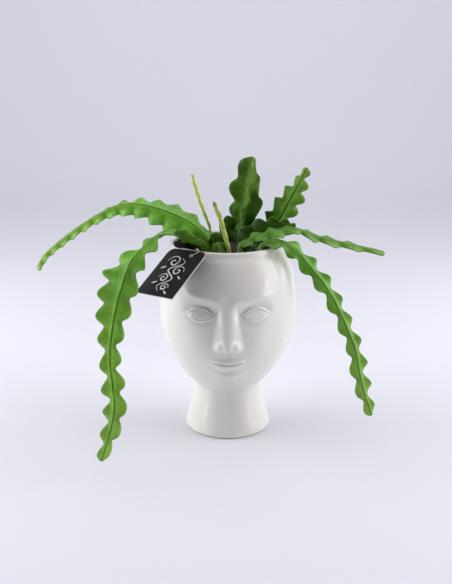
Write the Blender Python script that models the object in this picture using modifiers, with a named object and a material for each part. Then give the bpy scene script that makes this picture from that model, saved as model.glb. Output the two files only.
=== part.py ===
"""A fishbone cactus in a white ceramic planter shaped as a head on a flared foot, with a black card tag.

Metres, +Z up. The origin is the centre of the foot's flat underside and the face looks along -Y.
"""

import math

import bmesh
import bpy
from mathutils import Matrix, Vector

# Planter: (radius, height) down its outside, from below the rim to the base.
HEAD_OUTLINE = [
    (0.0487, 0.1710), (0.0532, 0.1645), (0.0581, 0.1505), (0.0607, 0.1295), (0.0614, 0.1085),
    (0.0581, 0.0875), (0.0499, 0.0700), (0.0418, 0.0560), (0.0345, 0.0475), (0.0306, 0.0430),
]
FOOT_OUTLINE = [(0.0306, 0.0430), (0.0303, 0.0385), (0.0326, 0.0280), (0.0357, 0.0170), (0.0384, 0.0070)]
BASE_RADIUS = 0.0398
BASE_EDGE = 0.0020
PLANTER_HEIGHT = 0.1750
WALL = 0.0042
FOOT_FLOOR = 0.0070
PLANTER_STEPS = 48

# The face stands on the front of the head: heights of its features.
CHIN_HEIGHT = 0.0560
FACE_TOP = 0.1520
FACE_LEAST_RADIUS = 0.0300
FACE_TURN = 0.35
MOUTH_HEIGHT = 0.0800
NOSE_BASE_HEIGHT = 0.0940
EYE_HEIGHT = 0.1235
BROW_HEIGHT = 0.1355
EYE_SPACING = 0.0480
EYE_WIDTH = 0.0240
NOSE_RISE = 0.0085

# Soil: fills the bowl up to this height.
SOIL_HEIGHT = 0.1650
SOIL_SHOULDER = 0.0020
GAP = 0.0003
SOCKET_RADIUS = 0.0034
SOCKET_DEPTH = 0.0085
SOCKET_SPARE = 0.0005

# Stems: the thickness of the midrib and of the thin outer edge.
MIDRIB = 0.0046
EDGE = 0.0018
STATIONS_PER_LOBE = 5
LOBE_LEAN = 1.35
NOTCH_SOFTNESS = 0.03
DEEPEST_NOTCH = 0.62
UNEVEN_LOBES = 0.12

# Tag: a stiff card that hangs from a thin loop over the rim.
TAG_CORNER = Vector((-0.0485, -0.0245, 0.1740))
TAG_ACROSS = Vector((0.760, -0.646, 0.056))
TAG_DOWN = Vector((-0.533, -0.640, -0.553))
TAG_WIDTH = 0.0420
TAG_LENGTH = 0.0530
TAG_THICKNESS = 0.0008
TAG_CORNER_RADIUS = 0.0060
TAG_HOLE_RADIUS = 0.0020
TAG_HOLE_PLACE = 0.0280
TAG_HOLE_INSET = 0.0060
LOOP_WIRE_RADIUS = 0.0004
LOOP_LENGTH = 0.0090
LOOP_SPREAD = 0.0055
LOOP_HEIGHT = 0.0015

# Each stem: the length of one lobe at its base and tip, how deep the notches cut at each, how full the
# lobes are, the share of a lobe by which the pattern starts late, how far the next wing's pattern is
# ahead at the base and at the tip, and the angles of its wings round the midrib. Then its route, from
# the soil to the tip: a point on the midrib, the way the stem's face looks, and each wing's width.
STEMS = {
    "stem_left_arching": dict(
        lobe=(0.0195, 0.0142), notch=(0.0062, 0.0016), fullness=0.36, start=0.32, shift=(0.14, 0.14),
        wings=(-24, 204),
        route=[
            ((-0.0125, -0.0105, 0.1568), (0.3, -0.7, 0.5), (0.0022, 0.0022)),
            ((-0.0138, -0.0110, 0.1670), (0.3, -0.7, 0.5), (0.0030, 0.0030)),
            ((-0.0190, -0.0110, 0.1795), (0.3, -0.7, 0.6), (0.0110, 0.0100)),
            ((-0.0280, -0.0090, 0.1885), (0.3, -0.7, 0.7), (0.0160, 0.0150)),
            ((-0.0390, -0.0060, 0.1950), (0.2, -0.7, 0.7), (0.0180, 0.0180)),
            ((-0.0540, -0.0030, 0.2010), (0.1, -0.7, 0.7), (0.0165, 0.0175)),
            ((-0.0690, 0.0000, 0.2050), (0.1, -0.7, 0.8), (0.0132, 0.0150)),
            ((-0.0840, 0.0030, 0.2065), (0.0, -0.6, 0.8), (0.0125, 0.0128)),
            ((-0.1000, 0.0050, 0.2035), (-0.2, -0.5, 0.8), (0.0100, 0.0095)),
            ((-0.1180, 0.0040, 0.1945), (-0.3, -0.4, 0.8), (0.0075, 0.0080)),
            ((-0.1360, 0.0010, 0.1830), (-0.4, -0.4, 0.8), (0.0062, 0.0068)),
            ((-0.1532, -0.0040, 0.1702), (-0.5, -0.4, 0.7), (0.0055, 0.0060)),
            ((-0.1624, -0.0080, 0.1614), (-0.6, -0.4, 0.6), (0.0045, 0.0048)),
            ((-0.1675, -0.0120, 0.1510), (-0.7, -0.4, 0.5), (0.0030, 0.0030)),
        ],
    ),
    "stem_left_hanging": dict(
        lobe=(0.0208, 0.0200), notch=(0.0055, 0.0050), fullness=0.36, start=0.66, shift=(0.25, 0.74),
        wings=(-10, 190),
        route=[
            ((-0.0140, -0.0290, 0.1568), (0.2, 0.4, 0.9), (0.0022, 0.0022)),
            ((-0.0160, -0.0295, 0.1670), (0.2, 0.4, 0.9), (0.0030, 0.0030)),
            ((-0.0195, -0.0300, 0.1763), (0.2, 0.6, 0.8), (0.0060, 0.0060)),
            ((-0.0303, -0.0320, 0.1845), (0.1, 0.8, 0.7), (0.0090, 0.0090)),
            ((-0.0377, -0.0340, 0.1880), (0.0, 0.7, 0.7), (0.0095, 0.0095)),
            ((-0.0458, -0.0380, 0.1915), (-0.1, 0.4, 0.9), (0.0085, 0.0095)),
            ((-0.0528, -0.0440, 0.1912), (-0.3, 0.1, 0.9), (0.0085, 0.0115)),
            ((-0.0598, -0.0500, 0.1880), (-0.5, -0.2, 0.8), (0.0085, 0.0115)),
            ((-0.0666, -0.0570, 0.1826), (-0.5, -0.5, 0.7), (0.0100, 0.0105)),
            ((-0.0725, -0.0630, 0.1774), (-0.5, -0.7, 0.5), (0.0115, 0.0135)),
            ((-0.0776, -0.0690, 0.1715), (-0.4, -0.9, 0.4), (0.0120, 0.0175)),
            ((-0.0805, -0.0740, 0.1637), (-0.3, -1.0, 0.2), (0.0125, 0.0210)),
            ((-0.0853, -0.0780, 0.1499), (-0.2, -1.0, 0.1), (0.0135, 0.0195)),
            ((-0.0893, -0.0820, 0.1353), (-0.1, -1.0, 0.1), (0.0125, 0.0175)),
            ((-0.0926, -0.0870, 0.1177), (0.0, -1.0, 0.1), (0.0100, 0.0125)),
            ((-0.0944, -0.0910, 0.0979), (0.1, -1.0, 0.1), (0.0088, 0.0088)),
            ((-0.0922, -0.0960, 0.0784), (0.0, -1.0, 0.1), (0.0095, 0.0095)),
            ((-0.0908, -0.1000, 0.0601), (-0.1, -1.0, 0.1), (0.0098, 0.0095)),
            ((-0.0952, -0.1030, 0.0403), (0.1, -1.0, 0.1), (0.0095, 0.0080)),
            ((-0.1005, -0.1045, 0.0235), (0.1, -1.0, 0.1), (0.0060, 0.0060)),
            ((-0.1034, -0.1050, 0.0152), (0.1, -1.0, 0.1), (0.0040, 0.0040)),
        ],
    ),
    "stem_centre_upright": dict(
        lobe=(0.0195, 0.0205), notch=(0.0045, 0.0040), fullness=0.45, start=0.50, shift=(0.33, 0.33),
        wings=(-16, 98, 196),
        route=[
            ((0.0100, 0.0140, 0.1568), (-0.4, -1.0, 0.0), (0.0022, 0.0022, 0.0022)),
            ((0.0102, 0.0140, 0.1670), (-0.4, -1.0, 0.0), (0.0034, 0.0034, 0.0034)),
            ((0.0130, 0.0140, 0.1780), (-0.4, -1.0, 0.0), (0.0110, 0.0080, 0.0110)),
            ((0.0143, 0.0140, 0.1900), (-0.4, -1.0, 0.0), (0.0150, 0.0140, 0.0140)),
            ((0.0158, 0.0140, 0.2060), (-0.2, -1.0, 0.0), (0.0165, 0.0150, 0.0155)),
            ((0.0172, 0.0150, 0.2220), (0.1, -1.0, 0.0), (0.0152, 0.0140, 0.0142)),
            ((0.0194, 0.0160, 0.2370), (0.3, -1.0, 0.0), (0.0108, 0.0100, 0.0100)),
            ((0.0212, 0.0170, 0.2472), (0.4, -1.0, 0.0), (0.0070, 0.0045, 0.0060)),
        ],
    ),
    "stem_right_upright": dict(
        lobe=(0.0200, 0.0150), notch=(0.0060, 0.0045), fullness=0.45, start=0.35, shift=(0.2, 0.2),
        wings=(-15, 195),
        route=[
            ((0.0255, 0.0130, 0.1568), (0.2, -0.9, 0.3), (0.0022, 0.0022)),
            ((0.0275, 0.0128, 0.1670), (0.2, -0.9, 0.3), (0.0034, 0.0034)),
            ((0.0350, 0.0122, 0.1770), (0.2, -0.9, 0.3), (0.0090, 0.0070)),
            ((0.0433, 0.0112, 0.1870), (0.2, -0.9, 0.2), (0.0150, 0.0105)),
            ((0.0480, 0.0100, 0.1963), (0.1, -1.0, 0.1), (0.0142, 0.0125)),
            ((0.0525, 0.0080, 0.2056), (0.0, -1.0, 0.1), (0.0125, 0.0138)),
            ((0.0573, 0.0050, 0.2159), (-0.1, -1.0, 0.1), (0.0100, 0.0122)),
            ((0.0618, 0.0030, 0.2250), (-0.2, -1.0, 0.1), (0.0066, 0.0088)),
            ((0.0655, 0.0010, 0.2331), (-0.2, -1.0, 0.1), (0.0046, 0.0056)),
            ((0.0685, 0.0000, 0.2395), (-0.2, -1.0, 0.1), (0.0030, 0.0036)),
        ],
    ),
    "stem_right_arching": dict(
        lobe=(0.0120, 0.0170), notch=(0.0052, 0.0028), fullness=0.50, start=0.15, shift=(0.5, 0.5),
        wings=(-14, 194),
        route=[
            ((0.0080, -0.0280, 0.1568), (-0.3, -0.3, 0.9), (0.0022, 0.0022)),
            ((0.0085, -0.0275, 0.1670), (-0.3, -0.3, 0.9), (0.0034, 0.0034)),
            ((0.0125, -0.0245, 0.1768), (-0.3, -0.3, 0.9), (0.0080, 0.0080)),
            ((0.0235, -0.0200, 0.1822), (-0.1, -0.3, 0.9), (0.0108, 0.0097)),
            ((0.0362, -0.0165, 0.1855), (0.0, -0.3, 1.0), (0.0108, 0.0106)),
            ((0.0494, -0.0130, 0.1870), (0.0, -0.3, 1.0), (0.0100, 0.0094)),
            ((0.0602, -0.0100, 0.1868), (0.1, -0.3, 1.0), (0.0088, 0.0062)),
            ((0.0719, -0.0080, 0.1819), (0.1, -0.4, 0.9), (0.0085, 0.0065)),
            ((0.0860, -0.0070, 0.1772), (0.1, -0.4, 0.9), (0.0092, 0.0068)),
            ((0.1033, -0.0060, 0.1730), (0.2, -0.4, 0.9), (0.0085, 0.0064)),
            ((0.1213, -0.0055, 0.1688), (0.2, -0.4, 0.9), (0.0060, 0.0052)),
            ((0.1395, -0.0050, 0.1641), (0.2, -0.4, 0.9), (0.0028, 0.0028)),
        ],
    ),
    "stem_right_hanging": dict(
        lobe=(0.0180, 0.0195), notch=(0.0038, 0.0045), fullness=0.55, start=0.65, shift=(0.05, -0.25),
        wings=(-14, 194),
        route=[
            ((0.0215, -0.0285, 0.1568), (-0.2, -0.4, 0.9), (0.0022, 0.0022)),
            ((0.0225, -0.0285, 0.1670), (-0.2, -0.4, 0.9), (0.0034, 0.0034)),
            ((0.0300, -0.0305, 0.1785), (0.0, -0.2, 0.9), (0.0058, 0.0058)),
            ((0.0445, -0.0322, 0.1812), (0.2, -0.4, 0.9), (0.0078, 0.0095)),
            ((0.0587, -0.0310, 0.1720), (0.4, -0.7, 0.6), (0.0098, 0.0088)),
            ((0.0692, -0.0320, 0.1593), (0.3, -0.9, 0.4), (0.0094, 0.0082)),
            ((0.0802, -0.0330, 0.1464), (0.3, -1.0, 0.3), (0.0090, 0.0078)),
            ((0.0890, -0.0345, 0.1336), (0.3, -1.0, 0.2), (0.0088, 0.0074)),
            ((0.0969, -0.0360, 0.1183), (0.2, -1.0, 0.2), (0.0088, 0.0072)),
            ((0.1050, -0.0380, 0.1009), (0.2, -1.0, 0.1), (0.0084, 0.0074)),
            ((0.1110, -0.0395, 0.0855), (0.1, -1.0, 0.1), (0.0086, 0.0082)),
            ((0.1148, -0.0410, 0.0673), (0.1, -1.0, 0.1), (0.0086, 0.0084)),
            ((0.1188, -0.0420, 0.0515), (0.1, -1.0, 0.1), (0.0084, 0.0076)),
            ((0.1238, -0.0430, 0.0365), (0.1, -1.0, 0.1), (0.0065, 0.0065)),
            ((0.1274, -0.0440, 0.0259), (0.1, -1.0, 0.1), (0.0038, 0.0038)),
        ],
    ),
    "stem_right_leaning": dict(
        lobe=(0.0190, 0.0130), notch=(0.0040, 0.0025), fullness=0.45, start=0.20, shift=(0.5, 0.5),
        wings=(-8, 188),
        route=[
            ((0.0100, -0.0070, 0.1568), (-0.1, -1.0, -0.1), (0.0022, 0.0022)),
            ((0.0115, -0.0070, 0.1665), (-0.1, -1.0, -0.1), (0.0036, 0.0036)),
            ((0.0150, -0.0062, 0.1745), (-0.1, -1.0, -0.1), (0.0105, 0.0105)),
            ((0.0205, -0.0050, 0.1805), (-0.1, -1.0, -0.2), (0.0120, 0.0110)),
            ((0.0290, -0.0015, 0.1848), (0.0, -1.0, -0.3), (0.0110, 0.0105)),
            ((0.0395, 0.0012, 0.1878), (0.0, -0.9, -0.4), (0.0088, 0.0085)),
            ((0.0504, 0.0022, 0.1888), (0.1, -0.8, -0.5), (0.0060, 0.0060)),
            ((0.0604, 0.0020, 0.1879), (0.1, -0.7, -0.5), (0.0030, 0.0030)),
        ],
    ),
    "stem_short_left": dict(
        lobe=(0.0140, 0.0140), notch=(0.0030, 0.0020), fullness=0.45, start=0.10, shift=(0.5, 0.5),
        wings=(-10, 190),
        route=[
            ((-0.0055, -0.0185, 0.1568), (-0.2, -1.0, 0.1), (0.0022, 0.0022)),
            ((-0.0060, -0.0185, 0.1670), (-0.2, -1.0, 0.1), (0.0034, 0.0034)),
            ((-0.0090, -0.0180, 0.1750), (-0.2, -1.0, 0.1), (0.0075, 0.0075)),
            ((-0.0110, -0.0180, 0.1815), (-0.2, -1.0, 0.1), (0.0070, 0.0070)),
            ((-0.0120, -0.0180, 0.1865), (-0.2, -1.0, 0.1), (0.0040, 0.0040)),
        ],
    ),
    "stem_short_front": dict(
        lobe=(0.0080, 0.0080), notch=(0.0030, 0.0020), fullness=0.45, start=0.30, shift=(0.5, 0.5),
        wings=(-10, 190),
        route=[
            ((-0.0078, -0.0378, 0.1568), (0.1, -1.0, 0.3), (0.0018, 0.0018)),
            ((-0.0074, -0.0378, 0.1660), (0.1, -1.0, 0.3), (0.0030, 0.0030)),
            ((-0.0076, -0.0374, 0.1725), (0.1, -1.0, 0.3), (0.0070, 0.0070)),
            ((-0.0093, -0.0370, 0.1775), (0.1, -1.0, 0.3), (0.0066, 0.0066)),
            ((-0.0113, -0.0370, 0.1812), (0.1, -1.0, 0.3), (0.0036, 0.0036)),
        ],
    ),
    "stem_short_back": dict(
        lobe=(0.0150, 0.0130), notch=(0.0030, 0.0020), fullness=0.45, start=0.40, shift=(0.5, 0.5),
        wings=(-10, 190),
        route=[
            ((-0.0020, 0.0040, 0.1568), (0.1, -1.0, 0.1), (0.0022, 0.0022)),
            ((-0.0020, 0.0040, 0.1670), (0.1, -1.0, 0.1), (0.0034, 0.0034)),
            ((-0.0008, 0.0045, 0.1780), (0.1, -1.0, 0.1), (0.0080, 0.0080)),
            ((0.0005, 0.0055, 0.1880), (0.1, -1.0, 0.1), (0.0085, 0.0085)),
            ((0.0010, 0.0060, 0.1965), (0.1, -1.0, 0.1), (0.0045, 0.0045)),
        ],
    ),
    "shoot_tall": dict(
        lobe=(0.0120, 0.0100), notch=(0.0003, 0.0003), fullness=0.45, start=0.00, shift=(0.33, 0.33),
        wings=(-30, 90, 210),
        route=[
            ((-0.0130, 0.0080, 0.1568), (0.0, -1.0, 0.0), (0.0010, 0.0010, 0.0010)),
            ((-0.0134, 0.0080, 0.1693), (0.0, -1.0, 0.0), (0.0010, 0.0010, 0.0010)),
            ((-0.0151, 0.0070, 0.1787), (0.0, -1.0, 0.0), (0.0010, 0.0010, 0.0010)),
            ((-0.0168, 0.0060, 0.1880), (0.0, -1.0, 0.0), (0.0011, 0.0011, 0.0011)),
            ((-0.0211, 0.0040, 0.2001), (0.0, -1.0, 0.0), (0.0013, 0.0013, 0.0013)),
            ((-0.0262, 0.0015, 0.2156), (0.0, -1.0, 0.0), (0.0014, 0.0014, 0.0014)),
            ((-0.0294, 0.0000, 0.2272), (0.0, -1.0, 0.0), (0.0015, 0.0015, 0.0015)),
            ((-0.0313, -0.0005, 0.2345), (0.0, -1.0, 0.0), (0.0009, 0.0009, 0.0009)),
        ],
    ),
    "shoot_short": dict(
        lobe=(0.0120, 0.0100), notch=(0.0003, 0.0003), fullness=0.45, start=0.00, shift=(0.33, 0.33),
        wings=(-30, 90, 210),
        route=[
            ((0.0035, -0.0362, 0.1568), (0.0, -1.0, 0.0), (0.0013, 0.0013, 0.0013)),
            ((0.0025, -0.0362, 0.1670), (0.0, -1.0, 0.0), (0.0015, 0.0015, 0.0015)),
            ((-0.0008, -0.0360, 0.1811), (0.0, -1.0, 0.0), (0.0017, 0.0017, 0.0017)),
            ((-0.0033, -0.0360, 0.1905), (0.0, -1.0, 0.0), (0.0019, 0.0019, 0.0019)),
            ((-0.0066, -0.0350, 0.2022), (0.0, -1.0, 0.0), (0.0019, 0.0019, 0.0019)),
            ((-0.0100, -0.0340, 0.2104), (0.0, -1.0, 0.0), (0.0016, 0.0016, 0.0016)),
            ((-0.0120, -0.0330, 0.2157), (0.0, -1.0, 0.0), (0.0009, 0.0009, 0.0009)),
        ],
    ),
}

# Colours: base colour, roughness.
GLAZE = ((0.80, 0.79, 0.76, 1.0), 0.18)
SOIL = ((0.030, 0.022, 0.016, 1.0), 0.95)
STEM = ((0.120, 0.300, 0.050, 1.0), 0.42)
SHOOT = ((0.420, 0.520, 0.100, 1.0), 0.50)
CARD = ((0.018, 0.018, 0.020, 1.0), 0.60)
CORD = ((0.700, 0.680, 0.640, 1.0), 0.60)


def clear_scene():
    for obj in list(bpy.data.objects):
        bpy.data.objects.remove(obj, do_unlink=True)


def new_collection(name):
    collection = bpy.data.collections.new(name)
    bpy.context.scene.collection.children.link(collection)
    return collection


def material(name, finish):
    """A Principled BSDF material of one colour and roughness."""
    made = bpy.data.materials.new(name)
    made.use_nodes = True
    shader = made.node_tree.nodes["Principled BSDF"]
    shader.inputs["Base Color"].default_value = finish[0]
    shader.inputs["Roughness"].default_value = finish[1]
    made.diffuse_color = finish[0]
    return made


def add_object(name, data, collection, finish=None):
    obj = bpy.data.objects.new(name, data)
    collection.objects.link(obj)
    if finish:
        data.materials.append(material(name + "_finish", finish))
    return obj


def smooth_through(points, steps):
    """Points on a Catmull-Rom curve through the given points, with steps to each span."""
    ends = [points[0] * 2 - points[1]] + points + [points[-1] * 2 - points[-2]]
    made = []
    for before, a, b, after in zip(ends, ends[1:], ends[2:], ends[3:]):
        for step in range(steps):
            t = step / steps
            made.append(
                0.5 * (2 * a + (b - before) * t + (2 * before - 5 * a + 4 * b - after) * t**2
                       + (3 * a - before - 3 * b + after) * t**3)
            )
    return made + [points[-1]]


def outer_profile(steps):
    """(radius, height) points down the outside of the planter, from below the rim to the foot."""
    head = smooth_through([Vector(p) for p in HEAD_OUTLINE], steps)
    foot = smooth_through([Vector(p) for p in FOOT_OUTLINE], steps)
    return head + foot[1:]


def set_in(profile, depth):
    """The same profile moved in from the surface by depth, square to it."""
    moved = []
    for i, point in enumerate(profile):
        along = profile[min(i + 1, len(profile) - 1)] - profile[max(i - 1, 0)]
        inward = Vector((along.y, -along.x)).normalized()
        moved.append(point + inward * depth)
    return moved


def cavity_profile(steps):
    """(radius, height) points down the inside of the planter, without its floor."""
    inner = set_in(outer_profile(steps), WALL)
    return [p for p in inner if p.y > FOOT_FLOOR + GAP]


def turned(name, profile, steps, collection):
    """A solid turned round Z from a profile at +X that runs down its outer side."""
    mesh = bpy.data.meshes.new(name)
    points = [(p[0], 0.0, p[1]) for p in profile]
    mesh.from_pydata(points, [(i, i + 1) for i in range(len(points) - 1)], [])
    obj = add_object(name, mesh, collection)
    screw = obj.modifiers.new("Turn", "SCREW")
    screw.steps = screw.render_steps = steps
    screw.use_merge_vertices = True
    screw.merge_threshold = 0.00001
    return obj


def made_real(obj):
    """The object with its modifiers applied."""
    graph = bpy.context.evaluated_depsgraph_get()
    mesh = bpy.data.meshes.new_from_object(obj.evaluated_get(graph))
    obj.modifiers.clear()
    obj.data = mesh
    return obj


def bump(t):
    """A smooth hump: 1 at t = 0 and 0 from |t| = 1 on."""
    return 0.5 + 0.5 * math.cos(math.pi * min(abs(t), 1.0))


def face_relief(u, z):
    """How far the face stands out of the head, u metres from its centre line at height z."""
    down = (BROW_HEIGHT - z) / (BROW_HEIGHT - NOSE_BASE_HEIGHT)
    nose = 0.0
    if -0.15 < down < 1.12:
        rise = 0.25 + 0.75 * max(down, 0.0) if down < 1 else bump((down - 1) / 0.12)
        nose = NOSE_RISE * rise * bump(u / (0.0075 + 0.0035 * down)) * min(1.0, (down + 0.15) / 0.2)
    arch = BROW_HEIGHT + 0.0035 - 8.0 * (abs(u) - EYE_SPACING / 2) ** 2
    brow = 0.0020 * bump((z - arch) / 0.006) * bump(u / 0.046)
    eye_u = (abs(u) - EYE_SPACING / 2) / (EYE_WIDTH / 2)
    socket = 0.0022 * bump(eye_u / 1.5) * bump((z - EYE_HEIGHT) / 0.012)
    eyeball = 0.0026 * bump(eye_u) * bump((z - EYE_HEIGHT) / 0.0065)
    lips = 0.0030 * bump(u / 0.0150) * bump((z - MOUTH_HEIGHT) / 0.0070)
    chin = 0.0030 * bump(u / 0.0170) * bump((z - CHIN_HEIGHT - 0.006) / 0.0110)
    return nose + brow - socket + eyeball + lips + chin


def make_planter(collection):
    """The one-piece ceramic head and foot: turned, then the face raised on its front."""
    outside = outer_profile(2)
    lip_radius = WALL / 2
    lip_centre = Vector((outside[0].x - lip_radius, PLANTER_HEIGHT - lip_radius))
    lip = [
        lip_centre + lip_radius * Vector((math.cos(a), math.sin(a)))
        for a in (math.radians(d) for d in (150, 90, 30))
    ]
    base = [Vector((BASE_RADIUS, BASE_EDGE)), Vector((BASE_RADIUS - BASE_EDGE, 0.0))]
    inside = cavity_profile(1)
    floor = [Vector((inside[-1].x, FOOT_FLOOR)), Vector((0.0, FOOT_FLOOR))]
    profile = floor[::-1] + inside[::-1] + lip + outside + base + [Vector((0.0, 0.0))]
    planter = made_real(turned("planter", profile, PLANTER_STEPS, collection))
    work = bmesh.new()
    work.from_mesh(planter.data)
    raise_face(work)
    work.to_mesh(planter.data)
    work.free()
    planter.data.materials.append(material("planter_finish", GLAZE))
    planter.data.shade_smooth()
    planter.data.set_sharp_from_angle(angle=math.radians(40))
    return planter


def on_face(point):
    """Whether a point is on the outer front of the head, where the face is."""
    radius = math.hypot(point.x, point.y)
    outside = radius > WALL + min(FACE_LEAST_RADIUS, radius) and point.y < -FACE_TURN * radius
    return outside and HEAD_OUTLINE[-2][1] < point.z < FACE_TOP


def raise_face(work):
    """Divides the outer front of the head more finely and moves it out by the face's relief."""
    work.faces.ensure_lookup_table()
    front = [
        face for face in work.faces
        if all(on_face(v.co) for v in face.verts) and face.normal.y < 0
    ]
    edges = {edge for face in front for edge in face.edges}
    bmesh.ops.subdivide_edges(work, edges=list(edges), cuts=1, use_grid_fill=True)
    bmesh.ops.triangulate(work, faces=[face for face in work.faces if len(face.verts) > 4])
    work.normal_update()
    for vertex in work.verts:
        if on_face(vertex.co) and vertex.normal.y < 0:
            radius = math.hypot(vertex.co.x, vertex.co.y)
            u = radius * math.atan2(vertex.co.x, -vertex.co.y)
            vertex.co += vertex.normal * face_relief(u, vertex.co.z)


def make_soil(parts, cutters):
    """The potting soil that fills the head and foot, with a socket for each stem's base."""
    inside = [p for p in set_in(cavity_profile(1), GAP) if p.y < SOIL_HEIGHT - SOIL_SHOULDER]
    top_radius = inside[0].x - SOIL_SHOULDER
    floor_height = FOOT_FLOOR + GAP
    floor_radius = inside[-1].x - GAP
    profile = [Vector((0.0, SOIL_HEIGHT)), Vector((top_radius, SOIL_HEIGHT))] + inside
    profile += [Vector((floor_radius, floor_height)), Vector((0.0, floor_height))]
    soil = turned("soil", profile, PLANTER_STEPS, parts)
    work = bmesh.new()
    for stem in STEMS.values():
        foot, above = (Vector(row[0]) for row in stem["route"][:2])
        lean = (above - foot).to_track_quat("Z", "Y").to_matrix().to_4x4()
        middle = foot + (above - foot).normalized() * (SOCKET_DEPTH / 2 + SOCKET_SPARE)
        bmesh.ops.create_cone(
            work, cap_ends=True, segments=8, radius1=SOCKET_RADIUS, radius2=SOCKET_RADIUS,
            depth=SOCKET_DEPTH * 2, matrix=Matrix.Translation(middle + Vector((0, 0, 0.003))) @ lean,
        )
    mesh = bpy.data.meshes.new("socket_cutters")
    work.to_mesh(mesh)
    work.free()
    cutter = add_object("socket_cutters", mesh, cutters)
    cutter.hide_render = True
    cutter.display_type = "WIRE"
    cut = soil.modifiers.new("Sockets", "BOOLEAN")
    cut.operation = "DIFFERENCE"
    cut.object = cutter
    soil.data.materials.append(material("soil_finish", SOIL))
    return soil


def lobe_outline(phase, fullness):
    """The outline of one lobe: 0 in the softened notches and a broad round top near 1."""
    rise = 0.5 - 0.5 * math.cos(2 * math.pi * (phase % 1.0) ** LOBE_LEAN)
    lowest = NOTCH_SOFTNESS**fullness
    return ((rise + NOTCH_SOFTNESS) ** fullness - lowest) / ((1 + NOTCH_SOFTNESS) ** fullness - lowest)


def route_table(stem):
    """Even steps along a stem's route: point, face direction and the lobed width of each wing."""
    rows = stem["route"]
    steps = 16
    points = smooth_through([Vector(row[0]) for row in rows], steps)
    facings = smooth_through([Vector(row[1]) for row in rows], steps)
    widths = [
        smooth_through([Vector((row[2][w], 0.0)) for row in rows], steps)
        for w in range(len(stem["wings"]))
    ]
    run = [0.0]
    for a, b in zip(points, points[1:]):
        run.append(run[-1] + (b - a).length)
    first, last = stem["lobe"]
    near_notch, far_notch = stem["notch"]
    near_shift, far_shift = stem["shift"]
    lobes = 2 * run[-1] / (first + last)
    count = max(6, round(lobes * STATIONS_PER_LOBE))
    table = []
    place = 0
    for i in range(count + 1):
        distance = run[-1] * i / count
        while run[place + 1] < distance and place < len(run) - 2:
            place += 1
        t = (distance - run[place]) / (run[place + 1] - run[place])
        share = distance / run[-1]
        phase = stem["start"] + distance / (first + (last - first) * share)
        half_way = min(1.0, max(0.0, (share - 0.35) / 0.30))
        shift = near_shift + (far_shift - near_shift) * half_way**2 * (3 - 2 * half_way)
        wide = []
        for w, line in enumerate(widths):
            full = line[place].lerp(line[place + 1], t).x
            own = phase + w * shift
            uneven = 1.0 + UNEVEN_LOBES * math.sin(5.1 * math.floor(own) + 2.3 * w)
            depth = min(near_notch + (far_notch - near_notch) * share, DEEPEST_NOTCH * full)
            wide.append(full - depth * (1 - lobe_outline(own, stem["fullness"]) * uneven))
        table.append(
            (points[place].lerp(points[place + 1], t), facings[place].lerp(facings[place + 1], t), wide)
        )
    return table


def stem_section(centre, facing, along, angles, widths):
    """One cross-section: each wing's two edge corners, with a valley point before each wing."""
    facing = (facing - along * facing.dot(along)).normalized()
    side = facing.cross(along)
    corners = []
    for i, angle in enumerate(angles):
        before = angles[i - 1] - (360 if i == 0 else 0)
        valley = math.radians((before + angle) / 2)
        thick = min(MIDRIB / 2, 0.8 * widths[i] + 0.0004)
        corners.append(centre + (side * math.cos(valley) + facing * math.sin(valley)) * thick)
        turn = math.radians(angle)
        out = side * math.cos(turn) + facing * math.sin(turn)
        across = facing * math.cos(turn) - side * math.sin(turn)
        half = min(EDGE / 2, 0.4 * widths[i] + 0.0002)
        corners += [centre + out * widths[i] - across * half, centre + out * widths[i] + across * half]
    return corners


def make_stem(name, stem, collection, finish):
    """A flattened stem with lobed wings, lofted through the sections along its route."""
    table = route_table(stem)
    work = bmesh.new()
    rings = []
    for i, (centre, facing, widths) in enumerate(table):
        along = (table[min(i + 1, len(table) - 1)][0] - table[max(i - 1, 0)][0]).normalized()
        section = stem_section(centre, facing, along, stem["wings"], widths)
        rings.append([work.verts.new(corner) for corner in section])
    for low, high in zip(rings, rings[1:]):
        for j in range(len(low)):
            k = (j + 1) % len(low)
            work.faces.new((low[j], low[k], high[k], high[j]))
    work.faces.new(rings[0][::-1])
    work.faces.new(rings[-1])
    bmesh.ops.recalc_face_normals(work, faces=work.faces)
    mesh = bpy.data.meshes.new(name)
    work.to_mesh(mesh)
    work.free()
    return add_object(name, mesh, collection, finish)


def tag_frame():
    """The card's own axes from its upper left corner: across its top edge, up, and out of its face."""
    across = TAG_ACROSS.normalized()
    up = (across * TAG_DOWN.dot(across) - TAG_DOWN).normalized()
    turn = Matrix((across, up, across.cross(up))).transposed().to_4x4()
    return Matrix.Translation(TAG_CORNER) @ turn


def add_spline(curve, points):
    spline = curve.splines.new("POLY")
    spline.points.add(len(points) - 1)
    for target, point in zip(spline.points, points):
        target.co = (*point, 1.0)
    spline.use_cyclic_u = True


def corner_arc(centre_x, centre_y, start, radius):
    angles = [math.radians(start + 30 * i) for i in range(4)]
    return [
        (centre_x + radius * math.cos(a), centre_y + radius * math.sin(a), 0.0) for a in angles
    ]


def tag_hole():
    """The middle of the card's hole, in the card's own frame."""
    return Vector((TAG_HOLE_PLACE, -TAG_HOLE_INSET, 0.0))


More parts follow.
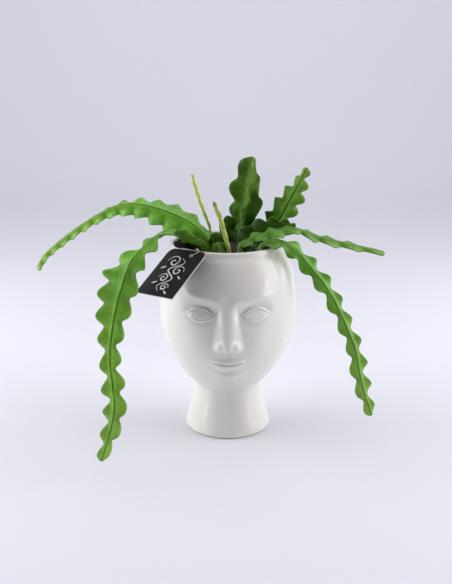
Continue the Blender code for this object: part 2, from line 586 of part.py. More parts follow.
def make_tag_card(collection):
    """A rectangular card with two rounded upper corners and a punched hole."""
    curve = bpy.data.curves.new("tag_card", "CURVE")
    curve.dimensions = "2D"
    curve.fill_mode = "BOTH"
    curve.extrude = TAG_THICKNESS / 2
    r = TAG_CORNER_RADIUS
    outline = corner_arc(TAG_WIDTH - r, -r, 0, r) + corner_arc(r, -r, 90, r)
    outline += [(0.0, -TAG_LENGTH, 0.0), (TAG_WIDTH, -TAG_LENGTH, 0.0)]
    add_spline(curve, outline)
    middle = tag_hole()
    angles = [-2 * math.pi * i / 12 for i in range(12)]
    rim = [middle + TAG_HOLE_RADIUS * Vector((math.cos(a), math.sin(a), 0.0)) for a in angles]
    add_spline(curve, rim)
    card = add_object("tag_card", curve, collection, CARD)
    card.matrix_world = tag_frame()
    return card


def make_tag_loop(collection):
    """The thin closed loop that runs through the card's hole and back over the rim."""
    curve = bpy.data.curves.new("tag_loop", "CURVE")
    curve.dimensions = "3D"
    curve.bevel_depth = LOOP_WIRE_RADIUS
    curve.bevel_resolution = 1
    points = []
    for i in range(24):
        angle = 2 * math.pi * i / 24
        points.append(
            tag_hole() + Vector((
                LOOP_SPREAD * math.sin(angle) ** 3,
                LOOP_LENGTH / 2 * (1 - math.cos(angle)),
                LOOP_HEIGHT * math.sin(angle),
            ))
        )
    add_spline(curve, points)
    loop = add_object("tag_loop", curve, collection, CORD)
    loop.matrix_world = tag_frame()
    return loop


def main():
    clear_scene()
    parts = new_collection("potted_fishbone_cactus")
    cutters = new_collection("cutters")
    cutters.hide_render = True
    make_planter(parts)
    make_soil(parts, cutters)
    for name, stem in STEMS.items():
        make_stem(name, stem, parts, SHOOT if name.startswith("shoot") else STEM)
    make_tag_card(parts)
    make_tag_loop(parts)


main()
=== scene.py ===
"""A fishbone cactus in a white ceramic planter shaped as a head, with a black card tag on its rim.

Metres, +Z up. The origin is the centre of the foot's flat underside and the face looks along -Y.
"""

import math
import random
from collections import namedtuple

import bmesh
import bpy
from bpy.props import FloatProperty, FloatVectorProperty, IntProperty, PointerProperty
from mathutils import Matrix, Vector


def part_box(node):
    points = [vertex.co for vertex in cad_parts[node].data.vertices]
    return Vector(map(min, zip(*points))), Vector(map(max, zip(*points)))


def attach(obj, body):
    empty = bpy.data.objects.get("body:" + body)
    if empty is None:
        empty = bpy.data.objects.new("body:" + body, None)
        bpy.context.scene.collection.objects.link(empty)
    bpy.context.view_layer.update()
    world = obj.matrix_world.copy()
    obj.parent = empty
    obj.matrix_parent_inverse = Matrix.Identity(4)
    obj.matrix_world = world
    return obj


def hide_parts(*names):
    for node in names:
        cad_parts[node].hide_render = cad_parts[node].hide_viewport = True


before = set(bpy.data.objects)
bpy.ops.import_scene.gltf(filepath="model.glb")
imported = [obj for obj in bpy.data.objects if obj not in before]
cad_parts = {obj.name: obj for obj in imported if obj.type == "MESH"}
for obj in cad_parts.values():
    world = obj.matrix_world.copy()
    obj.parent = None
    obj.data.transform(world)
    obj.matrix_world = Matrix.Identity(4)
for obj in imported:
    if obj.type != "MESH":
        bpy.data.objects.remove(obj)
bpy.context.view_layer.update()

bl_info = {
    "name": "Potted Fishbone Cactus",
    "version": (1, 0, 0),
    "blender": (4, 5, 0),
    "location": "View3D > Sidebar > Potted cactus",
    "description": "Builds a fishbone cactus in a glazed head planter, with its soil and card tag",
    "category": "Add Mesh",
}

MILLIMETRE = 0.001
WALL = 0.0042

# Planter: (radius, height) down its outside, from below the rim to the base.
HEAD_OUTLINE = [
    (0.0487, 0.1710), (0.0532, 0.1645), (0.0581, 0.1505), (0.0607, 0.1295), (0.0614, 0.1085),
    (0.0581, 0.0875), (0.0499, 0.0700), (0.0418, 0.0560), (0.0345, 0.0475), (0.0306, 0.0430),
]
FOOT_OUTLINE = [
    (0.0306, 0.0430), (0.0303, 0.0385), (0.0326, 0.0280), (0.0357, 0.0170), (0.0384, 0.0070),
]
BASE_RADIUS = 0.0398
BASE_EDGE = 0.0020
INSIDE_FLOOR = 0.0070
FLOOR_FILLET = 0.0030
FOOT_RING_INNER = 0.0335
FOOT_RING_SLOPE = 0.0012
FOOT_HOLLOW = 0.0012

# The face on the front of the head: heights of its features, on thirds of the face.
CHIN_HEIGHT = 0.0560
MOUTH_HEIGHT = 0.0800
NOSE_BASE_HEIGHT = 0.0940
EYE_HEIGHT = 0.1235
BROW_HEIGHT = 0.1355
EYE_SPACING = 0.0480
EYE_WIDTH = 0.0240
MOUTH_WIDTH = 0.0300
FACE_REACH = 0.056
FACE_LOW = CHIN_HEIGHT - 0.010
FACE_HIGH = BROW_HEIGHT + 0.016

# Each stem: a lobe's length and a notch's depth, near the soil and near the tip, in metres; how
# full and round the lobes are; where in a lobe the pattern starts; how far the second wing's lobes
# are shifted along, as a share of a lobe, near the soil and near the tip; how far the wave in and
# out of the stem's plane leads the lobes, if not by WAVE_LEAD; and each wing's angle round the
# midrib. The route runs from the soil to the tip. A row of it holds a point on the midrib in
# millimetres, the way in which the stem's face looks, and each wing's width in millimetres.
STEMS = {
    "stem_left_arching": dict(
        lobe=(0.0195, 0.0142), notch=(0.0062, 0.0016), fullness=0.36, start=0.32,
        shift=(0.14, 0.14),
        lead=0.8, wings=(-24, 204),
        route=[
            (-12.5, -10.5, 156.8, 0.3, -0.7, 0.5, 2.2, 2.2),
            (-13.8, -11, 167, 0.3, -0.7, 0.5, 3, 3),
            (-19, -11, 179.5, 0.3, -0.7, 0.6, 11, 10),
            (-28, -9, 188.5, 0.3, -0.7, 0.7, 16, 15),
            (-39, -6, 195, 0.2, -0.7, 0.7, 18, 18),
            (-54, -3, 201, 0.1, -0.7, 0.7, 16.5, 17.5),
            (-69, 0, 205, 0.1, -0.7, 0.8, 13.2, 15),
            (-84, 3, 206.5, 0, -0.6, 0.8, 12.5, 12.8),
            (-100, 5, 203.5, -0.2, -0.5, 0.8, 10, 9.5),
            (-118, 4, 194.5, -0.3, -0.4, 0.8, 7.5, 8),
            (-136, 1, 183, -0.4, -0.4, 0.8, 6.2, 6.8),
            (-153.2, -4, 170.2, -0.5, -0.4, 0.7, 5.5, 6),
            (-162.4, -8, 161.4, -0.6, -0.4, 0.6, 4.5, 4.8),
            (-167.5, -12, 151, -0.7, -0.4, 0.5, 3, 3),
        ],
    ),
    "stem_left_hanging": dict(
        lobe=(0.0208, 0.02), notch=(0.0055, 0.005), fullness=0.36, start=0.66, shift=(0.25, 0.74),
        wings=(-10, 190),
        route=[
            (-14, -29, 156.8, 0.2, 0.4, 0.9, 2.2, 2.2),
            (-16, -29.5, 167, 0.2, 0.4, 0.9, 3, 3),
            (-19.5, -30, 176.3, 0.2, 0.6, 0.8, 6, 6),
            (-30.3, -32, 184.5, 0.1, 0.8, 0.7, 9, 9),
            (-37.7, -34, 188, 0, 0.7, 0.7, 9.5, 9.5),
            (-45.8, -38, 191.5, -0.1, 0.4, 0.9, 8.5, 9.5),
            (-52.8, -44, 191.2, -0.3, 0.1, 0.9, 8.5, 11.5),
            (-59.8, -50, 188, -0.5, -0.2, 0.8, 8.5, 11.5),
            (-66.6, -57, 182.6, -0.5, -0.5, 0.7, 10, 10.5),
            (-72.5, -63, 177.4, -0.5, -0.7, 0.5, 11.5, 13.5),
            (-77.6, -69, 171.5, -0.4, -0.9, 0.4, 12, 17.5),
            (-80.5, -74, 163.7, -0.3, -1, 0.2, 12.5, 21),
            (-85.3, -78, 149.9, -0.2, -1, 0.1, 13.5, 19.5),
            (-89.3, -82, 135.3, -0.1, -1, 0.1, 12.5, 17.5),
            (-92.6, -87, 117.7, 0, -1, 0.1, 10, 12.5),
            (-94.4, -91, 97.9, 0.1, -1, 0.1, 8.8, 8.8),
            (-92.2, -96, 78.4, 0, -1, 0.1, 9.5, 9.5),
            (-90.8, -100, 60.1, -0.1, -1, 0.1, 9.8, 9.5),
            (-95.2, -103, 40.3, 0.1, -1, 0.1, 9.5, 8),
            (-100.5, -104.5, 23.5, 0.1, -1, 0.1, 6, 6),
            (-103.4, -105, 15.2, 0.1, -1, 0.1, 4, 4),
        ],
    ),
    "stem_centre_upright": dict(
        lobe=(0.0195, 0.0205), notch=(0.0045, 0.004), fullness=0.45, start=0.5, shift=(0.33, 0.33),
        lead=0.8, wings=(-16, 98, 196),
        route=[
            (10, 14, 156.8, -0.4, -1, 0, 2.2, 2.2, 2.2),
            (10.2, 14, 167, -0.4, -1, 0, 3.4, 3.4, 3.4),
            (13, 14, 178, -0.4, -1, 0, 11, 8, 11),
            (14.3, 14, 190, -0.4, -1, 0, 15, 14, 14),
            (15.8, 14, 206, -0.2, -1, 0, 16.5, 15, 15.5),
            (17.2, 15, 222, 0.1, -1, 0, 15.2, 14, 14.2),
            (19.4, 16, 237, 0.3, -1, 0, 10.8, 10, 10),
            (21.2, 17, 247.2, 0.4, -1, 0, 7, 4.5, 6),
        ],
    ),
    "stem_right_upright": dict(
        lobe=(0.02, 0.015), notch=(0.006, 0.0045), fullness=0.45, start=0.35, shift=(0.2, 0.2),
        wings=(-15, 195),
        route=[
            (25.5, 13, 156.8, 0.2, -0.9, 0.3, 2.2, 2.2),
            (27.5, 12.8, 167, 0.2, -0.9, 0.3, 3.4, 3.4),
            (35, 12.2, 177, 0.2, -0.9, 0.3, 9, 7),
            (43.3, 11.2, 187, 0.2, -0.9, 0.2, 15, 10.5),
            (48, 10, 196.3, 0.1, -1, 0.1, 14.2, 12.5),
            (52.5, 8, 205.6, 0, -1, 0.1, 12.5, 13.8),
            (57.3, 5, 215.9, -0.1, -1, 0.1, 10, 12.2),
            (61.8, 3, 225, -0.2, -1, 0.1, 6.6, 8.8),
            (65.5, 1, 233.1, -0.2, -1, 0.1, 4.6, 5.6),
            (68.5, 0, 239.5, -0.2, -1, 0.1, 3, 3.6),
        ],
    ),
    "stem_right_arching": dict(
        lobe=(0.012, 0.017), notch=(0.0052, 0.0028), fullness=0.5, start=0.15, shift=(0.5, 0.5),
        wings=(-14, 194),
        route=[
            (8, -28, 156.8, -0.3, -0.3, 0.9, 2.2, 2.2),
            (8.5, -27.5, 167, -0.3, -0.3, 0.9, 3.4, 3.4),
            (12.5, -24.5, 176.8, -0.3, -0.3, 0.9, 8, 8),
            (23.5, -20, 182.2, -0.1, -0.3, 0.9, 10.8, 9.7),
            (36.2, -16.5, 185.5, 0, -0.3, 1, 10.8, 10.6),
            (49.4, -13, 187, 0, -0.3, 1, 10, 9.4),
            (60.2, -10, 186.8, 0.1, -0.3, 1, 8.8, 6.2),
            (71.9, -8, 181.9, 0.1, -0.4, 0.9, 8.5, 6.5),
            (86, -7, 177.2, 0.1, -0.4, 0.9, 9.2, 6.8),
            (103.3, -6, 173, 0.2, -0.4, 0.9, 8.5, 6.4),
            (121.3, -5.5, 168.8, 0.2, -0.4, 0.9, 6, 5.2),
            (139.5, -5, 164.1, 0.2, -0.4, 0.9, 2.8, 2.8),
        ],
    ),
    "stem_right_hanging": dict(
        lobe=(0.018, 0.0195), notch=(0.0038, 0.0045), fullness=0.55, start=0.65,
        shift=(0.05, -0.25),
        lead=0.8, wings=(-14, 194),
        route=[
            (21.5, -28.5, 156.8, -0.2, -0.4, 0.9, 2.2, 2.2),
            (22.5, -28.5, 167, -0.2, -0.4, 0.9, 3.4, 3.4),
            (30, -30.5, 178.5, 0, -0.2, 0.9, 5.8, 5.8),
            (44.5, -32.2, 181.2, 0.2, -0.4, 0.9, 7.8, 9.5),
            (58.7, -31, 172, 0.4, -0.7, 0.6, 9.8, 8.8),
            (69.2, -32, 159.3, 0.3, -0.9, 0.4, 9.4, 8.2),
            (80.2, -33, 146.4, 0.3, -1, 0.3, 9, 7.8),
            (89, -34.5, 133.6, 0.3, -1, 0.2, 8.8, 7.4),
            (96.9, -36, 118.3, 0.2, -1, 0.2, 8.8, 7.2),
            (105, -38, 100.9, 0.2, -1, 0.1, 8.4, 7.4),
            (111, -39.5, 85.5, 0.1, -1, 0.1, 8.6, 8.2),
            (114.8, -41, 67.3, 0.1, -1, 0.1, 8.6, 8.4),
            (118.8, -42, 51.5, 0.1, -1, 0.1, 8.4, 7.6),
            (123.8, -43, 36.5, 0.1, -1, 0.1, 6.5, 6.5),
            (127.4, -44, 25.9, 0.1, -1, 0.1, 3.8, 3.8),
        ],
    ),
    "stem_right_leaning": dict(
        lobe=(0.019, 0.013), notch=(0.004, 0.0025), fullness=0.45, start=0.2, shift=(0.5, 0.5),
        wings=(-8, 188),
        route=[
            (10, -7, 156.8, -0.1, -1, -0.1, 2.2, 2.2),
            (11.5, -7, 166.5, -0.1, -1, -0.1, 3.6, 3.6),
            (15, -6.2, 174.5, -0.1, -1, -0.1, 10.5, 10.5),
            (20.5, -5, 180.5, -0.1, -1, -0.2, 12, 11),
            (29, -1.5, 184.8, 0, -1, -0.3, 11, 10.5),
            (39.5, 1.2, 187.8, 0, -0.9, -0.4, 8.8, 8.5),
            (50.4, 2.2, 188.8, 0.1, -0.8, -0.5, 6, 6),
            (60.4, 2, 187.9, 0.1, -0.7, -0.5, 3, 3),
        ],
    ),
    "stem_short_left": dict(
        lobe=(0.014, 0.014), notch=(0.003, 0.002), fullness=0.45, start=0.1, shift=(0.5, 0.5),
        wings=(-10, 190),
        route=[
            (-5.5, -18.5, 156.8, -0.2, -1, 0.1, 2.2, 2.2),
            (-6, -18.5, 167, -0.2, -1, 0.1, 3.4, 3.4),
            (-9, -18, 175, -0.2, -1, 0.1, 7.5, 7.5),
            (-11, -18, 181.5, -0.2, -1, 0.1, 7, 7),
            (-12, -18, 186.5, -0.2, -1, 0.1, 4, 4),
        ],
    ),
    "stem_short_front": dict(
        lobe=(0.008, 0.008), notch=(0.003, 0.002), fullness=0.45, start=0.3, shift=(0.5, 0.5),
        wings=(-10, 190),
        route=[
            (-7.8, -37.8, 156.8, 0.1, -1, 0.3, 1.8, 1.8),
            (-7.4, -37.8, 166, 0.1, -1, 0.3, 3, 3),
            (-7.6, -37.4, 172.5, 0.1, -1, 0.3, 7, 7),
            (-9.3, -37, 177.5, 0.1, -1, 0.3, 6.6, 6.6),
            (-11.3, -37, 181.2, 0.1, -1, 0.3, 3.6, 3.6),
        ],
    ),
    "stem_short_back": dict(
        lobe=(0.015, 0.013), notch=(0.003, 0.002), fullness=0.45, start=0.4, shift=(0.5, 0.5),
        wings=(-10, 190),
        route=[
            (-2, 4, 156.8, 0.1, -1, 0.1, 2.2, 2.2),
            (-2, 4, 167, 0.1, -1, 0.1, 3.4, 3.4),
            (-0.8, 4.5, 178, 0.1, -1, 0.1, 8, 8),
            (0.5, 5.5, 188, 0.1, -1, 0.1, 8.5, 8.5),
            (1, 6, 196.5, 0.1, -1, 0.1, 4.5, 4.5),
        ],
    ),
    "shoot_tall": dict(
        lobe=(0.012, 0.01), notch=(0.0003, 0.0003), fullness=0.45, start=0.0, shift=(0.33, 0.33),
        wings=(-30, 90, 210),
        route=[
            (-13, 8, 156.8, 0, -1, 0, 1, 1, 1),
            (-13.4, 8, 169.3, 0, -1, 0, 1, 1, 1),
            (-15.1, 7, 178.7, 0, -1, 0, 1, 1, 1),
            (-16.8, 6, 188, 0, -1, 0, 1.1, 1.1, 1.1),
            (-21.1, 4, 200.1, 0, -1, 0, 1.3, 1.3, 1.3),
            (-26.2, 1.5, 215.6, 0, -1, 0, 1.4, 1.4, 1.4),
            (-29.4, 0, 227.2, 0, -1, 0, 1.5, 1.5, 1.5),
            (-31.3, -0.5, 234.5, 0, -1, 0, 0.9, 0.9, 0.9),
        ],
    ),
    "shoot_short": dict(
        lobe=(0.012, 0.01), notch=(0.0003, 0.0003), fullness=0.45, start=0.0, shift=(0.33, 0.33),
        wings=(-30, 90, 210),
        route=[
            (3.5, -36.2, 156.8, 0, -1, 0, 1.3, 1.3, 1.3),
            (2.5, -36.2, 167, 0, -1, 0, 1.5, 1.5, 1.5),
            (-0.8, -36, 181.1, 0, -1, 0, 1.7, 1.7, 1.7),
            (-3.3, -36, 190.5, 0, -1, 0, 1.9, 1.9, 1.9),
            (-6.6, -35, 202.2, 0, -1, 0, 1.9, 1.9, 1.9),
            (-10, -34, 210.4, 0, -1, 0, 1.6, 1.6, 1.6),
            (-12, -33, 215.7, 0, -1, 0, 0.9, 0.9, 0.9),
        ],
    ),
}

# Each stem's depth of green, with painted light and shade, its skin's shine, and its painted edge
# light.
# Darker green paints shade on stems in shadow, paler green paints sheen on lit ones.
# Edge light below 1 paints shade along the edges, and above 1 a highlight.
STEM_GREENS = {
    "stem_left_arching": (1.40, 0.34, 0.55), "stem_left_hanging": (1.15, 0.20, 0.40),
    "stem_centre_upright": (0.48, 0.06, 2.60), "stem_right_upright": (0.90, 0.14, 0.45),
    "stem_right_arching": (1.00, 0.34, 0.50), "stem_right_hanging": (1.05, 0.24, 0.40),
    "stem_right_leaning": (0.36, 0.12, 3.20), "stem_short_left": (0.38, 0.10, 0.60),
    "stem_short_front": (0.55, 0.12, 1.60), "stem_short_back": (0.40, 0.10, 0.60),
    "shoot_tall": (1.70, 0.30, 1.00), "shoot_short": (0.95, 0.30, 1.00),
}


# ---- Settings ----------------------------------------------------------------------------------


def distance(name, description, default):
    return FloatProperty(name=name, description=description, unit="LENGTH", default=default)


def power(name, description, default):
    return FloatProperty(name=name, description=description, unit="POWER", default=default)


def tint(name, description, default):
    return FloatVectorProperty(
        name=name, description=description, subtype="COLOR", default=default
    )


def whole(name, description, default, least):
    return IntProperty(name=name, description=description, default=default, min=least)


class PlanterSettings(bpy.types.PropertyGroup):
    height: distance("Height", "Height of the rim above the table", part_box("planter")[1].z)
    wall: distance("Wall", "Thickness of the ceramic wall", WALL)
    sides: whole("Sides", "Steps round the turned body", 240, 48)
    glaze: tint("Glaze", "Colour of the glaze", (0.83, 0.800, 0.748))
    shine: FloatProperty(
        name="Roughness", description="Roughness of the glaze", subtype="FACTOR", default=0.16
    )


class SoilSettings(bpy.types.PropertyGroup):
    level: distance("Level", "Height of the soil above the table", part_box("soil")[1].z)
    bits: whole("Bits", "Pieces of bark and grit on the soil", 520, 0)
    colour: tint("Colour", "Colour of the moist soil", (0.020, 0.014, 0.010))


class PlantSettings(bpy.types.PropertyGroup):
    rib: distance("Midrib", "Thickness of a stem at its midrib", 0.0042)
    edge: distance("Edge", "Thickness of a stem at its outer edge", 0.0017)
    wave: distance("Wave", "How far the lobes rise and dip out of the stem's plane", 0.0026)
    green: tint("Green", "Colour of a full-grown stem", (0.125, 0.330, 0.026))
    tip_green: tint("Tip green", "Colour of a stem's younger end", (0.29, 0.50, 0.07))
    shoot_green: tint("Shoot green", "Colour of a young shoot", (0.44, 0.54, 0.10))


class TagSettings(bpy.types.PropertyGroup):
    width: distance("Width", "Width of the card", 0.0420)
    length: distance("Length", "Length of the card", 0.0530)
    thickness: distance("Thickness", "Thickness of the card", 0.0008)
    card: tint("Card", "Colour of the coated card", (0.010, 0.010, 0.011))
    print_colour: tint("Print", "Colour of the printed ornament", (0.80, 0.80, 0.82))


class StageSettings(bpy.types.PropertyGroup):
    floor: tint("Floor", "Colour of the floor and backdrop", (0.77, 0.77, 0.83))
    side_power: power("Side lights", "Power of each side light", 7.0)
    strip_power: power("Strip lights", "Power of each strip light beside the foot", 0.5)
    top_power: power("Top light", "Power of the light overhead", 21.0)
    back_power: power("Back light", "Power of the light on the far backdrop", 11.0)


# ---- Materials ---------------------------------------------------------------------------------


class Value:
    """A shader socket, on which + - * and ** add Math nodes."""

    def __init__(self, paint, socket):
        self.paint = paint
        self.socket = socket

    def _math(self, operation, *values):
        return self.paint.node("ShaderNodeMath", {"operation": operation}, dict(enumerate(values)))

    def sine(self):
        return self._math("SINE", self)

    def between(self, low, high):
        """0 below low, 1 above high and smooth in between; the other way round if high < low."""
        if low > high:
            return 1.0 - self.between(high, low)
        return self.paint.node(
            "ShaderNodeMapRange", {"interpolation_type": "SMOOTHSTEP"},
            {"Value": self, "From Min": low, "From Max": high},
        )


def math_method(operation, swapped):
    def apply(self, other):
        return self._math(operation, *((other, self) if swapped else (self, other)))

    return apply


for sign, operation in (
    ("add", "ADD"), ("sub", "SUBTRACT"), ("mul", "MULTIPLY"), ("pow", "POWER"),
):
    setattr(Value, f"__{sign}__", math_method(operation, False))
    setattr(Value, f"__r{sign}__", math_method(operation, True))


class Paint:
    """One Principled material and the nodes that feed it."""

    def __init__(self, name):
        self.material = bpy.data.materials.new(name)
        self.material.use_nodes = True
        self.tree = self.material.node_tree
        self.shader = self.tree.nodes["Principled BSDF"]

    def node(self, kind, settings=None, inputs=None, output=0):
        """Adds a node, with its settings first and then its sockets' values or links."""
        made = self.tree.nodes.new(kind)
        for key, value in (settings or {}).items():
            setattr(made, key, value)
        for key, value in (inputs or {}).items():
            self.put(made.inputs[key], value)
        return Value(self, made.outputs[output])

    def put(self, socket, value):
        if isinstance(value, Value):
            self.tree.links.new(value.socket, socket)
        elif isinstance(socket.default_value, (int, float)):
            socket.default_value = value
        else:
            value = tuple(value)
            socket.default_value = value + (1.0,) * (len(socket.default_value) - len(value))

    def finish(self, **sockets):
        for key, value in sockets.items():
            self.put(self.shader.inputs[key.replace("_", " ")], value)
        return self.material

    def place(self):
        return self.node("ShaderNodeTexCoord", output="Object")

    def axis(self, letter, vector=None):
        return self.node(
            "ShaderNodeSeparateXYZ", None, {"Vector": vector or self.place()}, output=letter
        )

    def attribute(self, name):
        return self.node("ShaderNodeAttribute", {"attribute_name": name}, output="Fac")

    def stretched(self, scale):
        return self.node(
            "ShaderNodeVectorMath", {"operation": "MULTIPLY"}, {0: self.place(), 1: scale}
        )

    def noise(self, scale, detail=3.0, roughness=0.5, vector=None):
        return self.node(
            "ShaderNodeTexNoise", None,
            {
                "Vector": vector or self.place(), "Scale": scale,
                "Detail": detail, "Roughness": roughness,
            },
        )

    def cells(self, scale):
        return self.node(
            "ShaderNodeTexVoronoi", None, {"Vector": self.place(), "Scale": scale},
            output="Distance",
        )

    def mix(self, factor, first, second):
        made = self.tree.nodes.new("ShaderNodeMix")
        made.data_type = "RGBA"
        self.put(made.inputs[0], factor)
        self.put(made.inputs[6], first)
        self.put(made.inputs[7], second)
        return Value(self, made.outputs[2])

    def bump(self, height, depth, strength=1.0, below=None):
        inputs = {"Height": height, "Distance": depth, "Strength": strength}
        if below:
            inputs["Normal"] = below
        return self.node("ShaderNodeBump", None, inputs)


def shade(colour, factor):
    return tuple(min(1.0, channel * factor) for channel in colour)


def glaze_material(settings):
    """White glaze with a little unevenness, bare clay on the ring that it stands on."""
    paint = Paint("white_glaze")
    clouds = paint.noise(14.0, 2.0)
    colour = paint.mix(clouds, shade(settings.glaze, 0.97), shade(settings.glaze, 1.03))
    pinholes = paint.cells(420.0).between(0.10, 0.05) * paint.noise(160.0).between(0.66, 0.72)
    colour = paint.mix(pinholes * 0.35, colour, (0.52, 0.47, 0.40))
    bare = paint.axis("Z").between(0.0011, 0.0006)
    colour = paint.mix(bare, colour, (0.62, 0.56, 0.48))
    roughness = settings.shine + 0.06 * paint.noise(32.0) + 0.6 * bare
    peel = paint.bump(paint.noise(210.0, 2.0), 0.00005, 0.5)
    grain = paint.bump(paint.noise(1500.0, 3.0) * bare, 0.0002, 0.8, below=peel)
    return paint.finish(Base_Color=colour, Roughness=roughness, Normal=grain, IOR=1.5)


def soil_material(name, dark, pale, grain_scale):
    paint = Paint(name)
    crumbs = paint.noise(grain_scale, 5.0, 0.65)
    fibres = paint.noise(90.0, 4.0, 0.6, paint.stretched((1.0, 4.0, 2.0)))
    colour = paint.mix(crumbs.between(0.35, 0.75), dark, pale)
    colour = paint.mix(fibres.between(0.6, 0.75) * 0.4, colour, shade(pale, 1.6))
    roughness = 0.78 + 0.2 * crumbs
    rough_skin = paint.bump(crumbs, 0.0006, 0.9)
    return paint.finish(Base_Color=colour, Roughness=roughness, Normal=rough_skin)


def stem_material(name, green, tip_green, shine, painted_edge_light):
    """Waxy skin: mottled, with painted sheen, a dark midrib line, veins with painted crease shade,
    and painted light along the edge.
    """
    paint = Paint(name)
    across, lobe, share = (paint.attribute(n) for n in ("across", "lobe", "share"))
    patches = paint.noise(60.0, 3.0, 0.55)
    mottle_and_sheen = paint.noise(380.0, 4.0, 0.6)
    colour = paint.mix(patches.between(0.30, 0.70), shade(green, 0.78), shade(green, 1.20))
    colour = paint.mix(share.between(0.35, 0.05) * 0.55, colour, shade(green, 0.50))
    colour = paint.mix(share.between(0.30, 1.0) * 0.60, colour, tip_green)
    # Painted sheen: grey patches across the blades stand in for the shine of the lights.
    painted_sheen = paint.noise(95.0, 4.0, 0.6).between(0.50, 0.66) * across.between(0.15, 0.60)
    sheen_grey = tuple(0.62 * channel + 0.11 for channel in shade(green, 1.4))
    colour = paint.mix(painted_sheen * 0.62, colour, sheen_grey)
    # The pale mottle spots are painted sheen; the dark spots below are the skin's own uneven tone.
    colour = paint.mix(mottle_and_sheen.between(0.54, 0.74) * 0.45, colour, shade(green, 1.7))
    colour = paint.mix(mottle_and_sheen.between(0.46, 0.30) * 0.45, colour, shade(green, 0.55))
    # Darker towards the notches: faint veins, with painted shade in the creases that run to them.
    veins_and_crease_shade = (1.0 - lobe) ** 3.0 * across.between(0.06, 0.30)
    colour = paint.mix(veins_and_crease_shade * 0.35, colour, shade(green, 0.55))
    colour = paint.mix(across.between(0.060, 0.020) * 0.85, colour, shade(green, 0.26))
    # Painted light along the rim: painted shade on most stems, a painted highlight where this
    # colour is paler.
    colour = paint.mix(across.between(0.955, 0.99) * 0.60, colour, painted_edge_light)
    scars = paint.cells(240.0).between(0.12, 0.05) * paint.noise(70.0).between(0.60, 0.68)
    colour = paint.mix(scars * 0.5, colour, (0.36, 0.34, 0.16))
    roughness = 0.30 + 0.14 * patches + 0.15 * scars + 0.10 * painted_sheen
    folds = paint.bump(lobe * across, 0.0008, 0.7)
    skin = paint.bump(mottle_and_sheen, 0.00016, 0.7, below=folds)
    return paint.finish(
        Base_Color=colour, Roughness=roughness, Normal=skin, Specular_IOR_Level=shine
    )


def shoot_material(name, green, dried):
    """A young shoot: reddish at its foot, and brown at its end where dried is 1."""
    paint = Paint(name)
    share = paint.attribute("share")
    streaks = paint.noise(160.0, 3.0, 0.5, paint.stretched((1.0, 1.0, 0.25)))
    colour = paint.mix(streaks, shade(green, 0.78), shade(green, 1.2))
    brown = dried * share.between(0.90, 0.97) + 0.7 * share.between(0.42, 0.20)
    colour = paint.mix(brown.between(0.0, 1.0) * 0.8, colour, (0.26, 0.15, 0.05))
    ridges = paint.bump(streaks, 0.0002, 0.6)
    return paint.finish(Base_Color=colour, Roughness=0.42 + 0.2 * streaks, Normal=ridges)


def card_material(settings):
    paint = Paint("black_card")
    fibres = paint.noise(900.0, 4.0, 0.7)
    scuffs = paint.noise(60.0, 5.0, 0.7).between(0.58, 0.72)
    colour = paint.mix(scuffs * 0.25, settings.card, shade(settings.card, 4.0))
    roughness = 0.62 + 0.10 * fibres + 0.15 * scuffs
    laid = paint.bump(fibres, 0.00004, 0.6)
    return paint.finish(Base_Color=colour, Roughness=roughness, Normal=laid, Specular_IOR_Level=0.2)


def plain_paper_material(name, colour):
    paint = Paint(name)
    fibres = paint.noise(1400.0, 3.0, 0.7)
    tinted = paint.mix(fibres, shade(colour, 0.85), shade(colour, 1.1))
    return paint.finish(Base_Color=tinted, Roughness=0.7 + 0.2 * fibres)


def print_material(settings):
    paint = Paint("silver_print")
    flakes = paint.noise(2600.0, 2.0)
    silver = settings.print_colour
    tinted = paint.mix(flakes, shade(silver, 0.85), shade(silver, 1.2))
    return paint.finish(Base_Color=tinted, Roughness=0.34 + 0.2 * flakes, Metallic=0.35)


def cord_material(name, colour):
    """Two twisted strands, drawn on the cord's own length and turn."""
    paint = Paint(name)
    uv = paint.node("ShaderNodeUVMap", {"uv_map": "twist"})
    run, turn = paint.axis("X", uv), paint.axis("Y", uv)
    strands = (run * 1400.0 + turn * 2.0 * math.tau).sine() * 0.5 + 0.5
    tinted = paint.mix(strands, shade(colour, 0.6), shade(colour, 1.15))
    twist = paint.bump(strands, 0.0002, 0.8)
    return paint.finish(Base_Color=tinted, Roughness=0.7 + 0.1 * strands, Normal=twist)


def floor_material(settings):
    """Pale paper that falls off to dark grey on the side from which the face is seen: painted shade
    that stands in for a dark room there.
    """
    paint = Paint("studio_floor")
    clouds = paint.noise(1.4, 2.0)
    tinted = paint.mix(clouds, shade(settings.floor, 0.99), shade(settings.floor, 1.01))
    # Painted shade: dark grey in front of the planter, on the face's side, cuts the light that
    # reaches the face.
    tinted = paint.mix(paint.axis("Y").between(-0.8, -1.5), tinted, shade(settings.floor, 0.12))
    return paint.finish(Base_Color=tinted, Roughness=0.6 + 0.05 * clouds, Specular_IOR_Level=0.0)


# ---- Modelling helpers -------------------------------------------------------------------------


def start_fresh():
    if bpy.context.mode != "OBJECT":
        bpy.ops.object.mode_set(mode="OBJECT")
    bpy.ops.object.select_all(action="DESELECT")


def select_only(obj):
    start_fresh()
    obj.select_set(True)
    bpy.context.view_layer.objects.active = obj


def named(obj, name):
    obj.name = name
    obj.data.name = name
    return obj


def select_where(obj, wanted, kind="FACE"):
    """Selects the faces or vertices of a mesh in edit mode whose middle wanted() accepts."""
    work = bmesh.from_edit_mesh(obj.data)
    bpy.ops.mesh.select_all(action="DESELECT")
    bpy.ops.mesh.select_mode(type=kind)
    if kind == "FACE":
        for face in work.faces:
            face.select_set(wanted(face.calc_center_median()))
    else:
        for vertex in work.verts:
            vertex.select_set(wanted(vertex.co))
    work.select_flush_mode()
    bmesh.update_edit_mesh(obj.data)


